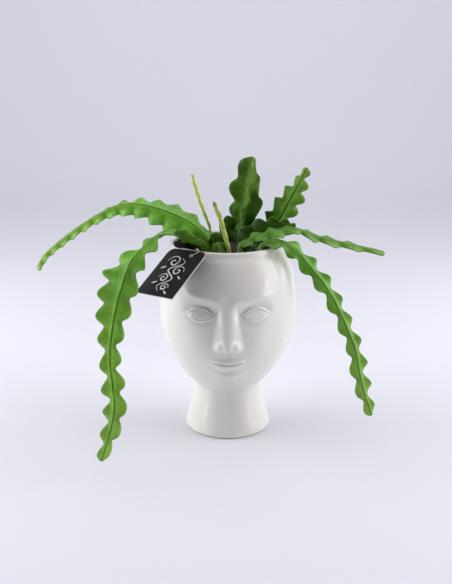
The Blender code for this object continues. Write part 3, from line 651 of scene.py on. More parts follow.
def apply_modifier(obj, kind, **settings):
    select_only(obj)
    modifier = obj.modifiers.new(kind.title(), kind)
    for key, value in settings.items():
        setattr(modifier, key, value)
    bpy.ops.object.modifier_apply(modifier=modifier.name)


def smooth_shaded(obj, angle=60.0):
    select_only(obj)
    bpy.ops.object.shade_smooth_by_angle(angle=math.radians(angle))


def settle(obj, matrix=None):
    """Puts the object's place into its mesh, so that the object stands unturned at the origin."""
    if matrix is not None:
        obj.matrix_world = matrix
    select_only(obj)
    bpy.ops.object.transform_apply(location=True, rotation=True, scale=True)


def show(obj, material, slot, *nodes):
    """Gives a finished piece its material and body, and hides the CAD nodes that it stands for;
    slot is not used.
    """
    if material is not None:
        obj.data.materials.clear()
        obj.data.materials.append(material)
    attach(obj, "root")
    if nodes:
        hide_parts(*nodes)


def joined(objects, name):
    start_fresh()
    for obj in objects:
        obj.select_set(True)
    bpy.context.view_layer.objects.active = objects[0]
    bpy.ops.object.join()
    return named(bpy.context.object, name)


def object_from(work, name, angle=None):
    """Turns mesh code's work into an object, with its edges under angle degrees shaded smooth."""
    mesh = bpy.data.meshes.new(name)
    work.to_mesh(mesh)
    work.free()
    obj = bpy.data.objects.new(name, mesh)
    bpy.context.scene.collection.objects.link(obj)
    if angle is not None:
        smooth_shaded(obj, angle)
    return obj


def lump_of(subdivisions):
    start_fresh()
    bpy.ops.mesh.primitive_ico_sphere_add(subdivisions=subdivisions, radius=1.0)
    return bpy.context.object


def add_copy(work, lump, matrix):
    """Adds a moved copy of a small object's mesh to the work."""
    mesh = lump.data.copy()
    mesh.transform(matrix)
    work.from_mesh(mesh)
    bpy.data.meshes.remove(mesh)


def skin_between(work, low, high):
    """One band of faces from a ring of vertices to the next."""
    following = zip(low[1:] + low[:1], high[1:] + high[:1])
    return [work.faces.new((a, c, d, b)) for (a, b), (c, d) in zip(zip(low, high), following)]


def loft(work, rings):
    """A closed skin over rings of vertices, flat at both ends."""
    for low, high in zip(rings, rings[1:]):
        skin_between(work, low, high)
    work.faces.new(rings[0][::-1])
    work.faces.new(rings[-1])


def ring_round(work, middle, first, second, radius, sides):
    angles = (math.tau * k / sides for k in range(sides))
    return [
        work.verts.new(middle + (first * math.cos(a) + second * math.sin(a)) * radius)
        for a in angles
    ]


def heading_at(turn, lift):
    """A unit vector by its turn about Z and its lift above level."""
    flat = math.cos(lift)
    return Vector((math.cos(turn) * flat, math.sin(turn) * flat, math.sin(lift)))


def smooth_through(points, steps):
    """Points on a Catmull-Rom curve through the given points, with steps to each span."""
    ends = [points[0] * 2 - points[1]] + points + [points[-1] * 2 - points[-2]]
    made = []
    for before, a, b, after in zip(ends, ends[1:], ends[2:], ends[3:]):
        for step in range(steps):
            t = step / steps
            made.append(
                0.5 * (2 * a + (b - before) * t + (2 * before - 5 * a + 4 * b - after) * t**2
                       + (3 * a - before - 3 * b + after) * t**3)
            )
    return made + [points[-1]]


def hump(t):
    """A smooth hump: 1 at t = 0 and 0 from |t| = 1 on."""
    return 0.5 + 0.5 * math.cos(math.pi * min(abs(t), 1.0))


def bell(t):
    return math.exp(-t * t)


def ramp(t):
    t = min(max(t, 0.0), 1.0)
    return t * t * (3 - 2 * t)


# ---- Planter -----------------------------------------------------------------------------------


def outer_profile(steps):
    """(radius, height) points down the outside of the planter, from below the rim to the foot."""
    head = smooth_through([Vector(p) for p in HEAD_OUTLINE], steps)
    foot = smooth_through([Vector(p) for p in FOOT_OUTLINE], steps)
    return head + foot[1:]


# The plain head's outline, finely enough to read its radius at any height.
OUTER_TABLE = outer_profile(24)


def set_in(profile, depth):
    """The same profile moved in from the surface by depth, square to it."""
    moved = []
    for i, point in enumerate(profile):
        along = profile[min(i + 1, len(profile) - 1)] - profile[max(i - 1, 0)]
        inward = Vector((along.y, -along.x)).normalized()
        moved.append(point + inward * depth)
    return moved


def arc(centre, radius, first, last, steps):
    angles = [math.radians(first + (last - first) * i / steps) for i in range(steps + 1)]
    return [centre + radius * Vector((math.cos(a), math.sin(a))) for a in angles]


def planter_profile(settings):
    """The wall's whole section: floor, inside, lip, outside, base edge and hollow underside."""
    outside = outer_profile(9)
    inside = [p for p in set_in(outside, settings.wall) if p.y > INSIDE_FLOOR + FLOOR_FILLET]
    lip_radius = settings.wall / 2
    lip_centre = Vector((outside[0].x - lip_radius, settings.height - lip_radius))
    lip = arc(lip_centre, lip_radius, 165, 20, 8)
    base = arc(Vector((BASE_RADIUS - BASE_EDGE, BASE_EDGE)), BASE_EDGE, 20, -90, 6)
    fillet = Vector((inside[-1].x - FLOOR_FILLET, INSIDE_FLOOR + FLOOR_FILLET))
    floor = [Vector((0.0, INSIDE_FLOOR))] + arc(fillet, FLOOR_FILLET, -90, 0, 4)
    ring = [
        Vector((FOOT_RING_INNER, 0.0)), Vector((FOOT_RING_INNER - FOOT_RING_SLOPE, FOOT_HOLLOW)),
        Vector((0.0, FOOT_HOLLOW)),
    ]
    return floor + inside[::-1] + lip + outside + base + ring


def face_relief(u, z):
    """How far the face stands out of the head, u metres from its centre line at height z.

    Every feature is a sum of smooth swellings, each with a height, a place and a spread in metres.
    """
    side = abs(u)
    down = (BROW_HEIGHT - z) / (BROW_HEIGHT - NOSE_BASE_HEIGHT)

    # Nose: a bridge that widens and rises to the tip, two wings, and a quick fall under it.
    bridge = ramp((down + 0.22) / 0.40) * ramp((1.10 - down) / 0.16)
    half = 0.0058 + 0.0034 * ramp(down)
    rise = 0.0026 + 0.0042 * max(down, 0.0) ** 1.3
    nose = bridge * rise * hump(side / (half * 1.55)) ** 0.85
    nose += 0.0022 * bell(u / 0.0048) * bell((z - NOSE_BASE_HEIGHT - 0.0050) / 0.0058) * bridge
    nose += 0.0024 * bell((side - 0.0078) / 0.0030) * bell((z - NOSE_BASE_HEIGHT - 0.0035) / 0.0036)

    # Brow: a soft ridge that runs out of the bridge and falls away at the temples.
    out = side / EYE_SPACING * 2
    arch = BROW_HEIGHT + 0.0052 * math.sin(min(out, 1.9) * 0.9) - 0.0022 * max(out - 1.0, 0.0) ** 2
    brow_fade = ramp((0.046 - side) / 0.018) * ramp(side / 0.008)
    brow = 0.0021 * bell((z - arch) / 0.0042) * brow_fade

    # Eyes: a hollow under the brow, a blank eyeball, and two lids that meet at the corners.
    a = (side - EYE_SPACING / 2) / (EYE_WIDTH / 2)
    hollow = 0.0034 * hump(a / 1.75) * bell((z - EYE_HEIGHT - 0.0035) / 0.0078)
    eye = 0.0
    if abs(a) < 1.25:
        open_share = max(0.0, 1.0 - a * a)
        upper = EYE_HEIGHT + 0.0053 * open_share**0.8
        lower = EYE_HEIGHT - 0.0036 * open_share
        middle, reach = (upper + lower) / 2, max((upper - lower) / 2, 0.0004)
        ball = max(0.0, 1.0 - ((z - middle) / (reach * 1.35)) ** 2)
        eye += 0.0030 * math.sqrt(open_share) * math.sqrt(ball)
        fade = ramp((1.25 - abs(a)) / 0.35)
        lid = 0.0015 * bell((z - upper - 0.0010) / 0.0010)
        lid += 0.0010 * bell((z - lower + 0.0008) / 0.0010)
        crease = 0.0006 * bell((z - upper + 0.0004) / 0.0005)
        crease += 0.0005 * bell((z - lower - 0.0003) / 0.0005)
        eye += (lid - crease) * fade

    # Mouth: two lips with a groove between them, then the hollow above the chin.
    m = side / (MOUTH_WIDTH / 2)
    lips = 0.0
    if m < 1.15:
        full = max(0.0, 1.0 - m * m)
        part = MOUTH_HEIGHT + 0.0006 * m * m - 0.0004 * bell(u / 0.003)
        bow = 0.0058 - 0.0010 * bell(u / 0.0022) - 0.0030 * m**1.6
        top = (z - part) / max(bow, 0.0012)
        low = (part - z) / max(0.0074 * full**0.6, 0.0012)
        if top >= 0:
            swell = 0.0030 * max(0.0, 1.0 - (top - 0.30) ** 2 / 0.60) * ramp((1.2 - top) / 0.4)
        else:
            swell = 0.0036 * max(0.0, 1.0 - (low - 0.38) ** 2 / 0.55) * ramp((1.25 - low) / 0.45)
        lips = swell * full**0.55
        lips -= 0.0014 * bell((z - part) / 0.0007) * ramp(full * 3)
    muzzle = 0.0016 * bell(u / 0.0150) * bell((z - MOUTH_HEIGHT) / 0.0100)
    philtrum = 0.0007 * bell(u / 0.0018) * bell((z - MOUTH_HEIGHT - 0.0092) / 0.0028)
    under_lip = 0.0014 * bell(u / 0.0090) * bell((z - MOUTH_HEIGHT + 0.0098) / 0.0026)
    chin = 0.0034 * bell(u / 0.0120) * bell((z - CHIN_HEIGHT - 0.0085) / 0.0070)
    cheeks = 0.0012 * bell((side - 0.0270) / 0.0120)
    cheeks *= bell((z - NOSE_BASE_HEIGHT - 0.0060) / 0.0130)
    return nose + brow - hollow + eye + lips + muzzle - philtrum - under_lip + chin + cheeks


def on_face(point, reach, low, high):
    """Whether a point is on the outside of the head's front, within reach metres of its middle."""
    radius = math.hypot(point.x, point.y)
    u = radius * math.atan2(point.x, -point.y)
    return abs(u) < reach and low < point.z < high and radius > outer_radius(point.z) - 0.001


def outer_radius(height):
    """The radius of the plain turned head at a height."""
    for above, below in zip(OUTER_TABLE, OUTER_TABLE[1:]):
        if below.y <= height <= above.y:
            t = (height - below.y) / max(above.y - below.y, 1e-9)
            return below.x + (above.x - below.x) * t
    top, bottom = OUTER_TABLE[0], OUTER_TABLE[-1]
    return top.x if height > top.y else bottom.x


def turn_profile(profile, sides, name):
    """Draws a profile with one vertex and extrusions, then spins it round Z."""
    start_fresh()
    first = profile[0]
    bpy.ops.mesh.primitive_plane_add(size=0.001, location=(first.x, 0.0, first.y))
    obj = named(bpy.context.object, name)
    bpy.ops.object.transform_apply(location=True)
    bpy.ops.object.mode_set(mode="EDIT")
    bpy.ops.mesh.select_mode(type="VERT")
    bpy.ops.mesh.select_all(action="SELECT")
    bpy.ops.mesh.merge(type="CENTER")
    for here, there in zip(profile, profile[1:]):
        step = (there.x - here.x, 0.0, there.y - here.y)
        bpy.ops.mesh.extrude_vertices_move(TRANSFORM_OT_translate={"value": step})
    bpy.ops.mesh.select_all(action="SELECT")
    bpy.ops.mesh.spin(steps=sides, angle=math.tau, center=(0, 0, 0), axis=(0, 0, 1))
    bpy.ops.mesh.select_all(action="SELECT")
    bpy.ops.mesh.remove_doubles(threshold=0.00002)
    bpy.ops.mesh.normals_make_consistent(inside=False)
    return obj


def make_planter_piece(settings):
    planter = turn_profile(planter_profile(settings), settings.sides, "glazed_planter")
    # The mesh is finer over the face, and finer again over the nose, mouth and eyes. A feature is
    # its middle's distance from the centre line, its reach to each side, its bottom and its top.
    select_where(planter, lambda p: on_face(p, FACE_REACH, FACE_LOW, FACE_HIGH))
    bpy.ops.mesh.subdivide(number_cuts=1)
    features = (
        (0.0, 0.018, MOUTH_HEIGHT - 0.013, BROW_HEIGHT + 0.004),
        (EYE_SPACING / 2, 0.015, EYE_HEIGHT - 0.008, EYE_HEIGHT + 0.010),
    )
    select_where(
        planter,
        lambda p: any(
            on_face(p, middle + reach, bottom, top)
            and abs(abs(p.x) * outer_radius(p.z) / max(math.hypot(p.x, p.y), 1e-6) - middle) < reach
            for middle, reach, bottom, top in features
        ),
    )
    bpy.ops.mesh.subdivide(number_cuts=1)
    bpy.ops.object.mode_set(mode="OBJECT")
    # The face is shaped as a sculptor would, by moving the surface out along the head's radius.
    for vertex in planter.data.vertices:
        if on_face(vertex.co, FACE_REACH + 0.004, FACE_LOW, FACE_HIGH):
            angle = math.atan2(vertex.co.x, -vertex.co.y)
            plain = outer_radius(vertex.co.z)
            radius = plain + face_relief(plain * angle, vertex.co.z)
            vertex.co.x = radius * math.sin(angle)
            vertex.co.y = -radius * math.cos(angle)
    smooth_shaded(planter, 50.0)
    return planter


# ---- Soil --------------------------------------------------------------------------------------

SOIL_GAP = 0.0004
SOIL_DEPTH = 0.0120
SOIL_TOP = -0.0008
SOIL_RINGS = 34
SOIL_SIDES = 120
SOIL_WAVES = 26
SOIL_BUMP = 0.00035
BIT_SHAPES = 6
BITS_FROM_WALL = 0.0020
COIR_LUMPS = (
    (Vector((-0.0300, -0.0215, 0.1700)), Vector((0.0092, 0.0085, 0.0092))),
    (Vector((-0.0385, -0.0215, 0.1768)), Vector((0.0080, 0.0070, 0.0036))),
)
COIR_STRANDS = 300
COIR_RINGS = 6
COIR_RADIUS = 0.00011


def make_soil_piece(settings):
    """A closed, bumpy cake of soil that fills the mouth of the bowl."""
    level = settings.level
    edge = outer_radius(level) - WALL - SOIL_GAP
    # (radius, height against the level) from the middle of the underside, then back over the top.
    side = (
        (0.0, -SOIL_DEPTH), (edge - 0.0010, -SOIL_DEPTH), (edge, -0.0040), (edge - 0.0006, -0.0014)
    )
    top = [(edge * i / SOIL_RINGS, SOIL_TOP) for i in range(SOIL_RINGS - 1, -1, -1)]
    profile = [Vector((radius, level + drop)) for radius, drop in (*side, *top)]
    soil = turn_profile(profile, SOIL_SIDES, "soil_cake")
    bpy.ops.object.mode_set(mode="OBJECT")
    draw = random.Random(11)
    waves = [
        (draw.uniform(90, 900), draw.uniform(0, math.tau), draw.uniform(0, math.tau))
        for _ in range(SOIL_WAVES)
    ]
    for vertex in soil.data.vertices:
        spot = vertex.co
        if spot.z > level + SOIL_TOP - 0.0004:
            radius = math.hypot(spot.x, spot.y)
            lift = 0.0
            for pitch, turn, phase in waves:
                way = spot.x * math.cos(turn) + spot.y * math.sin(turn)
                lift += math.sin(way * pitch + phase) * SOIL_BUMP * (90 / pitch) ** 0.45
            spot.z += lift * ramp((edge - radius) / 0.004) - 0.0006 + 0.0004 * (1 - radius / edge)
    smooth_shaded(soil, 80.0)
    return soil


def make_soil_bits(settings, name, radius_range, flat, seed, count):
    """Bark chips or grit: a few small lumps, copied, turned and strewn on the soil."""
    draw = random.Random(seed)
    edge = outer_radius(settings.level) - WALL - BITS_FROM_WALL
    bits = []
    for _ in range(BIT_SHAPES):
        lump = lump_of(1)
        for vertex in lump.data.vertices:
            vertex.co *= draw.uniform(0.7, 1.1)
        bits.append(lump)
    work = bmesh.new()
    for _ in range(count):
        lump = draw.choice(bits)
        reach = edge * math.sqrt(draw.random())
        turn = draw.uniform(0, math.tau)
        size = draw.uniform(*radius_range)
        height = settings.level - 0.0012 + size * 0.25
        place = Vector((reach * math.cos(turn), reach * math.sin(turn), height))
        spin = Matrix.Rotation(draw.uniform(0, math.tau), 4, "Z")
        tilt = Matrix.Rotation(draw.uniform(-0.5, 0.5), 4, "X")
        squash = Matrix.Diagonal(
            (size * draw.uniform(0.8, 1.6), size, size * flat * draw.uniform(0.7, 1.2), 1.0)
        )
        add_copy(work, lump, Matrix.Translation(place) @ spin @ tilt @ squash)
    for lump in bits:
        bpy.data.objects.remove(lump)
    return object_from(work, name, 35.0)


def make_coir_tuft():
    """A clump of coir at the rim: two rough cores with loose curved fibres. Its near-black colour
    is partly painted shade where the rim lies in shadow.
    """
    draw = random.Random(31)
    cores = []
    for middle, reach in COIR_LUMPS:
        lump = lump_of(5)
        for vertex in lump.data.vertices:
            way = vertex.co.normalized()
            rough = 1.0 + 0.09 * math.sin(way.x * 17 + way.z * 9) * math.sin(way.y * 15 + 2)
            rough += draw.uniform(-0.03, 0.03)
            vertex.co = middle + way * reach * rough
        cores.append(lump)
    core = joined(cores, "coir_tuft")
    work = bmesh.new()
    work.from_mesh(core.data)
    for middle, reach in (lump for lump in COIR_LUMPS for _ in range(COIR_STRANDS)):
        way = heading_at(draw.uniform(0, math.tau), draw.uniform(0.05, 1.4))
        point = middle + way * reach * 0.92
        stray = Vector((draw.uniform(-0.6, 0.3), draw.uniform(-0.5, 0.5), draw.uniform(-0.2, 0.4)))
        heading = (way + stray).normalized()
        step = draw.uniform(0.0007, 0.0014)
        rings = []
        for k in range(COIR_RINGS):
            thick = COIR_RADIUS * (1.05 - k / (COIR_RINGS - 1))
            first = heading.orthogonal().normalized()
            rings.append(ring_round(work, point, first, heading.cross(first), thick, 3))
            bend = draw.uniform(-0.3, 0.3), draw.uniform(-0.3, 0.3), draw.uniform(-0.5, 0.1)
            heading = (heading + Vector(bend)).normalized()
            point = point + heading * step
        loft(work, rings)
    work.to_mesh(core.data)
    work.free()
    smooth_shaded(core, 40.0)
    return core


# ---- Stems -------------------------------------------------------------------------------------

ROUTE_STEPS = 16
RINGS_PER_LOBE = 22
FEWEST_RINGS = 30
# Where across a wing its section has points, as shares of its width from the midrib to the rim.
BLADE = (0.10, 0.20, 0.34, 0.52, 0.72, 0.88)
RIM = 1.0
RIB_REACH = 0.0021
TIP_ROUNDING = 0.0045
NOTCH_SOFTNESS = 0.03
DEEPEST_NOTCH = 0.62
LOBE_LEAN = 1.35
UNEVEN_LOBES = 0.12
WAVE_LEAD = 0.3
FULL_WAVE_WIDTH = 0.010
NARROWEST_NOTCH = 0.002

# One step of a stem. Its phase counts the lobes passed so far; its share is how far along it is.
Station = namedtuple("Station", "middle facing widths lobes phase shift share")


def lobe_outline(phase, fullness):
    """The outline of one lobe: 0 in the softened notches and a broad round top near 1."""
    rise = 0.5 - 0.5 * math.cos(math.tau * (phase % 1.0) ** LOBE_LEAN)
    lowest = NOTCH_SOFTNESS**fullness
    highest = (1 + NOTCH_SOFTNESS) ** fullness
    return ((rise + NOTCH_SOFTNESS) ** fullness - lowest) / (highest - lowest)


def route_table(stem):
    """Even steps along a stem's route, with each wing's width where its lobes and notches fall."""
    rows = stem["route"]
    points = smooth_through([Vector(row[:3]) * MILLIMETRE for row in rows], ROUTE_STEPS)
    facings = smooth_through([Vector(row[3:6]) for row in rows], ROUTE_STEPS)
    widths = [
        smooth_through([Vector((row[6 + w], 0.0)) * MILLIMETRE for row in rows], ROUTE_STEPS)
        for w in range(len(stem["wings"]))
    ]
    run = [0.0]
    for a, b in zip(points, points[1:]):
        run.append(run[-1] + (b - a).length)
    first, last = stem["lobe"]
    near_notch, far_notch = stem["notch"]
    near_shift, far_shift = stem["shift"]
    count = max(FEWEST_RINGS, round(2 * run[-1] / (first + last) * RINGS_PER_LOBE))
    table, place = [], 0
    for i in range(count + 1):
        distance = run[-1] * i / count
        while place < len(run) - 2 and run[place + 1] < distance:
            place += 1
        t = (distance - run[place]) / (run[place + 1] - run[place])
        share = distance / run[-1]
        phase = stem["start"] + distance / (first + (last - first) * share)
        left = min(1.0, (run[-1] - distance) / TIP_ROUNDING)
        rounding = 0.12 + 0.88 * math.sqrt(max(0.0, 1.0 - (1.0 - left) ** 2))
        shift = near_shift + (far_shift - near_shift) * ramp((share - 0.35) / 0.30)
        wide, lobes = [], []
        for w, line in enumerate(widths):
            full = line[place].lerp(line[place + 1], t).x
            own = phase + w * shift
            here = lobe_outline(own, stem["fullness"])
            uneven = 1.0 + UNEVEN_LOBES * math.sin(5.1 * math.floor(own) + 2.3 * w)
            depth = min(near_notch + (far_notch - near_notch) * share, DEEPEST_NOTCH * full)
            lobes.append(here)
            wide.append((full - depth * (1 - here * uneven)) * rounding)
        middle = points[place].lerp(points[place + 1], t)
        facing = facings[place].lerp(facings[place + 1], t)
        table.append(Station(middle, facing, wide, lobes, phase, shift, share))
    return table


def stem_ring(station, along, stem, settings):
    """One section, as (place, across, lobe) points: round-edged blades about a thick midrib."""
    middle, facing, widths, lobes, phase, shift, _ = station
    angles, lead = stem["wings"], stem.get("lead", WAVE_LEAD)
    facing = (facing - along * facing.dot(along)).normalized()
    side = facing.cross(along)
    rib = min(settings.rib / 2, 0.75 * max(widths) + 0.0003)
    ring = []
    for i, angle in enumerate(angles):
        before = angles[i - 1] - (360 if i == 0 else 0)
        valley = math.radians((before + angle) / 2)
        inner = side * math.cos(valley) + facing * math.sin(valley)
        ring.append((middle + inner * rib, 0.0, lobes[i]))
        turn = math.radians(angle)
        out = side * math.cos(turn) + facing * math.sin(turn)
        across = facing * math.cos(turn) - side * math.sin(turn)
        width = widths[i]
        edge = min(settings.edge / 2, 0.35 * width + 0.0002)
        dip = settings.wave * math.sin(math.tau * (phase + i * shift + lead))
        dip *= min(1.0, width / FULL_WAVE_WIDTH)
        lean = 0.10 * width * lobes[i]

        def blade(s, half):
            bend = across * (half + dip * s * s)
            return (middle + out * (width * s) + bend + along * (lean * s * s), s, lobes[i])

        def half_at(s):
            return edge + (rib - edge) * bell(s * width / RIB_REACH)

        ring += [blade(s, -half_at(s)) for s in BLADE]
        ring += [blade(0.975, -edge * 0.72), blade(RIM, 0.0), blade(0.975, edge * 0.72)]
        ring += [blade(s, half_at(s)) for s in reversed(BLADE)]
    return ring


def make_stem_piece(name, stem, settings):
    """A flat stem with lobed wings, lofted in mesh code: no drawing tool follows its section."""
    table = route_table(stem)
    work = bmesh.new()
    layers = [work.verts.layers.float.new(n) for n in ("across", "lobe", "share")]
    rings = []
    for behind, here, ahead in zip(table[:1] + table, table, table[1:] + table[-1:]):
        along = (ahead.middle - behind.middle).normalized()
        ring = []
        for place, across, lobe in stem_ring(here, along, stem, settings):
            vertex = work.verts.new(place)
            for layer, value in zip(layers, (across, lobe, here.share)):
                vertex[layer] = value
            ring.append(vertex)
        rings.append(ring)
    loft(work, rings)
    bmesh.ops.recalc_face_normals(work, faces=work.faces)
    return object_from(work, name, 70.0)


def make_areoles(settings):
    """The small woolly spots in the notches: one lump made once, then copied to each notch."""
    lump = lump_of(1)
    draw = random.Random(23)
    work = bmesh.new()
    for name, stem in STEMS.items():
        if name.startswith("shoot"):
            continue
        table = route_table(stem)
        for behind, here, ahead in zip(table, table[1:], table[2:]):
            along = (ahead.middle - behind.middle).normalized()
            ring = stem_ring(here, along, stem, settings)
            rims = [place for place, across, _ in ring if across == RIM]
            for w, rim in enumerate(rims):
                passed, next_passed = (math.floor(at.phase + w * at.shift) for at in (here, ahead))
                if passed == next_passed or here.widths[w] < NARROWEST_NOTCH:
                    continue
                size = draw.uniform(0.00045, 0.0008)
                inward = (here.middle - rim).normalized() * size * 0.4
                add_copy(work, lump, Matrix.Translation(rim + inward) @ Matrix.Scale(size, 4))
    bpy.data.objects.remove(lump)
    return object_from(work, "areoles", 60.0)


# ---- Tag ---------------------------------------------------------------------------------------

TAG_CORNER = Vector((-0.0485, -0.0245, 0.1740))
TAG_ACROSS = Vector((0.760, -0.646, 0.056))
TAG_DOWN = Vector((-0.533, -0.640, -0.553))
TAG_CORNER_RADIUS = 0.0060
TAG_EASED_EDGE = 0.00010
TAG_HOLE_RADIUS = 0.0020
# The middle of the hole, from the card's upper left corner.
TAG_HOLE = Vector((0.0280, -0.0060, 0.0))
LOOP_WIRE_RADIUS = 0.0004
LOOP_LENGTH = 0.0090
LOOP_SPREAD = 0.0055
LOOP_HEIGHT = 0.0015
LOOP_RINGS = 72
LOOP_SIDES = 12
PRINT_HEIGHT = 0.00008
PEN_THICK = 0.0013
PEN_THIN = 0.0004
VINE_TOP = -0.0100
VINE_BOTTOM = -0.0475
VINE_SWAY = 0.0062
VINE_STEPS = 90
SCROLLS = 4
SCROLL_TURNS = 1.45
SCROLL_EYE = 0.0008
LEAF = Vector((0.0048, -0.0030))


def tag_frame():
    """The card's axes from its upper left corner: along its top edge, up, and out of its face."""
    across = TAG_ACROSS.normalized()
    up = (across * TAG_DOWN.dot(across) - TAG_DOWN).normalized()
    turn = Matrix((across, up, across.cross(up))).transposed().to_4x4()
    return Matrix.Translation(TAG_CORNER) @ turn


def make_card(settings):
    """A card with two rounded upper corners and a punched hole, its edges slightly eased."""
    start_fresh()
    middle = (settings.width / 2, -settings.length / 2, 0.0)
    bpy.ops.mesh.primitive_plane_add(size=1.0, location=middle)
    card = named(bpy.context.object, "black_card_tag")
    card.scale = (settings.width, settings.length, 1.0)
    settle(card)
    bpy.ops.object.mode_set(mode="EDIT")
    select_where(card, lambda p: p.y > -0.001, "VERT")
    bpy.ops.mesh.bevel(offset=TAG_CORNER_RADIUS, segments=10, affect="VERTICES")
    bpy.ops.object.mode_set(mode="OBJECT")
    apply_modifier(card, "SOLIDIFY", thickness=settings.thickness, offset=0.0)
    start_fresh()
    bpy.ops.mesh.primitive_cylinder_add(
        vertices=40, radius=TAG_HOLE_RADIUS, depth=0.01, location=TAG_HOLE
    )
    punch = bpy.context.object
    apply_modifier(card, "BOOLEAN", operation="DIFFERENCE", object=punch)
    bpy.data.objects.remove(punch)
    apply_modifier(card, "BEVEL", width=TAG_EASED_EDGE, segments=2, limit_method="ANGLE")
    # The first material covers the two faces, and the second covers the edges.
    for face in card.data.polygons:
        face.material_index = int(abs(face.normal.z) < 0.5)
    settle(card, tag_frame())
    smooth_shaded(card, 40.0)
    return card


def scroll(centre, start, first, mirror):
    """Points of a spiral in the card's plane, from its outer end to its eye."""
    steps = int(36 * SCROLL_TURNS)
    points = []
    for i in range(steps + 1):
        t = i / steps
        radius = first + (SCROLL_EYE - first) * t**0.8
        angle = math.radians(start) + mirror * math.tau * SCROLL_TURNS * t
        points.append(centre + radius * Vector((math.cos(angle), math.sin(angle))))
    return points


def ribbon(points, thick, thin):
    """A pen stroke: a flat strip, thickest in its middle, that lies on the card's face."""
    work = bmesh.new()
    last = len(points) - 1
    rings = []
    for i, point in enumerate(points):
        along = (points[min(i + 1, last)] - points[max(i - 1, 0)]).normalized()
        wide = thin + (thick - thin) * math.sin(math.pi * i / last)
        out = Vector((-along.y, along.x)) * wide / 2
        corners = ((out, PRINT_HEIGHT), (-out, PRINT_HEIGHT), (-out, 0.0), (out, 0.0))
        rings.append([work.verts.new((*(point + way), height)) for way, height in corners])
    loft(work, rings)
    bmesh.ops.recalc_face_normals(work, faces=work.faces)
    return object_from(work, "stroke")


def make_print(settings):
    """A plain vine ornament on the card: a waving line with a scroll and a leaf on each bend."""
    middle, fall = settings.width / 2, VINE_BOTTOM - VINE_TOP
    vine = []
    for i in range(VINE_STEPS + 1):
        t = i / VINE_STEPS
        sway = VINE_SWAY * math.sin(math.tau * SCROLLS / 2 * t) * (1.0 - 0.35 * t)
        vine.append(Vector((middle + sway, VINE_TOP + fall * t)))
    strokes = [ribbon(vine, PEN_THICK, PEN_THIN)]
    for k in range(SCROLLS):
        side = 1 if k % 2 else -1
        size = 0.0076 - 0.0010 * k
        eye = Vector((middle + side * size * 0.75, VINE_TOP + fall * (k + 0.5) / SCROLLS))
        strokes.append(ribbon(scroll(eye, 90 - 90 * side, size, side), PEN_THICK, PEN_THIN))
        root = eye + Vector((side * size * 0.6, -size * 0.8))
        tip = root + Vector((side * LEAF.x, LEAF.y))
        strokes.append(ribbon([root.lerp(tip, i / 10) for i in range(11)], 0.0016, 0.0002))
    drawn = joined(strokes, "tag_ornament")
    settle(drawn, tag_frame() @ Matrix.Translation((0.0, 0.0, settings.thickness / 2)))
    return drawn


def make_loop():
    """The thin closed loop that runs through the card's hole and back over the rim."""
    path = []
    for i in range(LOOP_RINGS):
        angle = math.tau * i / LOOP_RINGS
        path.append(TAG_HOLE + Vector((
            LOOP_SPREAD * math.sin(angle) ** 3,
            LOOP_LENGTH / 2 * (1 - math.cos(angle)),
            LOOP_HEIGHT * math.sin(angle),
        )))
    work = bmesh.new()
    uv = work.loops.layers.uv.new("twist")
    rings, runs = [], [0.0]
    for before, point, after in zip(path[-1:] + path, path, path[1:] + path[:1]):
        along = (after - before).normalized()
        first = along.cross(Vector((0.1, 0.2, 1.0))).normalized()
        rings.append(
            ring_round(work, point, first, along.cross(first), LOOP_WIRE_RADIUS, LOOP_SIDES)
        )
        runs.append(runs[-1] + (after - point).length)
    for i, (low, high) in enumerate(zip(rings, rings[1:] + rings[:1])):
        for j, face in enumerate(skin_between(work, low, high)):
            ends = ((i, j), (i, j + 1), (i + 1, j + 1), (i + 1, j))
            for corner, (step, turned) in zip(face.loops, ends):
                corner[uv].uv = (runs[step], turned / LOOP_SIDES)
    bmesh.ops.recalc_face_normals(work, faces=work.faces)
    loop = object_from(work, "tag_cord_loop")
    settle(loop, tag_frame())
    smooth_shaded(loop, 60.0)
    return loop


# ---- Operators ---------------------------------------------------------------------------------

# Each light: its name, its place, the point that it shines at, its width and height, and the
# setting that holds its power. The strips draw the bright lines down the sides of the foot.
HEAD_MIDDLE = (0.0, 0.0, 0.12)
FOOT_MIDDLE = (0.0, 0.0, 0.03)
LIGHTS = (
    ("left_softbox", (-0.85, 0.02, 0.45), HEAD_MIDDLE, (0.9, 0.9), "side_power"),
    ("left_strip", (-0.79, -0.34, 0.13), FOOT_MIDDLE, (0.05, 0.24), "strip_power"),
    ("right_softbox", (0.85, 0.02, 0.45), HEAD_MIDDLE, (0.9, 0.9), "side_power"),
    ("right_strip", (0.79, -0.34, 0.13), FOOT_MIDDLE, (0.05, 0.24), "strip_power"),
    ("top_softbox", (0.0, 0.35, 2.4), (0.0, 0.35, 0.0), (2.6, 2.6), "top_power"),
    ("back_softbox", (0.0, 1.2, 1.6), (0.0, 3.0, 1.0), (2.4, 0.6), "back_power"),
)
CAMERA_PLACE = Vector((-0.00165, -0.6330, 0.3170))
CAMERA_PITCH = 16.675
CAMERA_LENS = 44.85
SENSOR = 36.0
SWEEP_RADIUS = 2.4
SWEEP_CURVE = 0.9
SWEEP_HEIGHT = 2.4
SKY_COLOUR = (0.90, 0.91, 1.0, 1.0)
SKY_STRENGTH = 0.23


class POTTED_OT_planter(bpy.types.Operator):
    """Builds the glazed head planter with its face"""

    bl_idname = "potted_cactus.planter"
    bl_label = "Head planter"

    def execute(self, context):
        settings = context.scene.potted_planter
        show(make_planter_piece(settings), glaze_material(settings), "white_glaze", "planter")
        return {"FINISHED"}


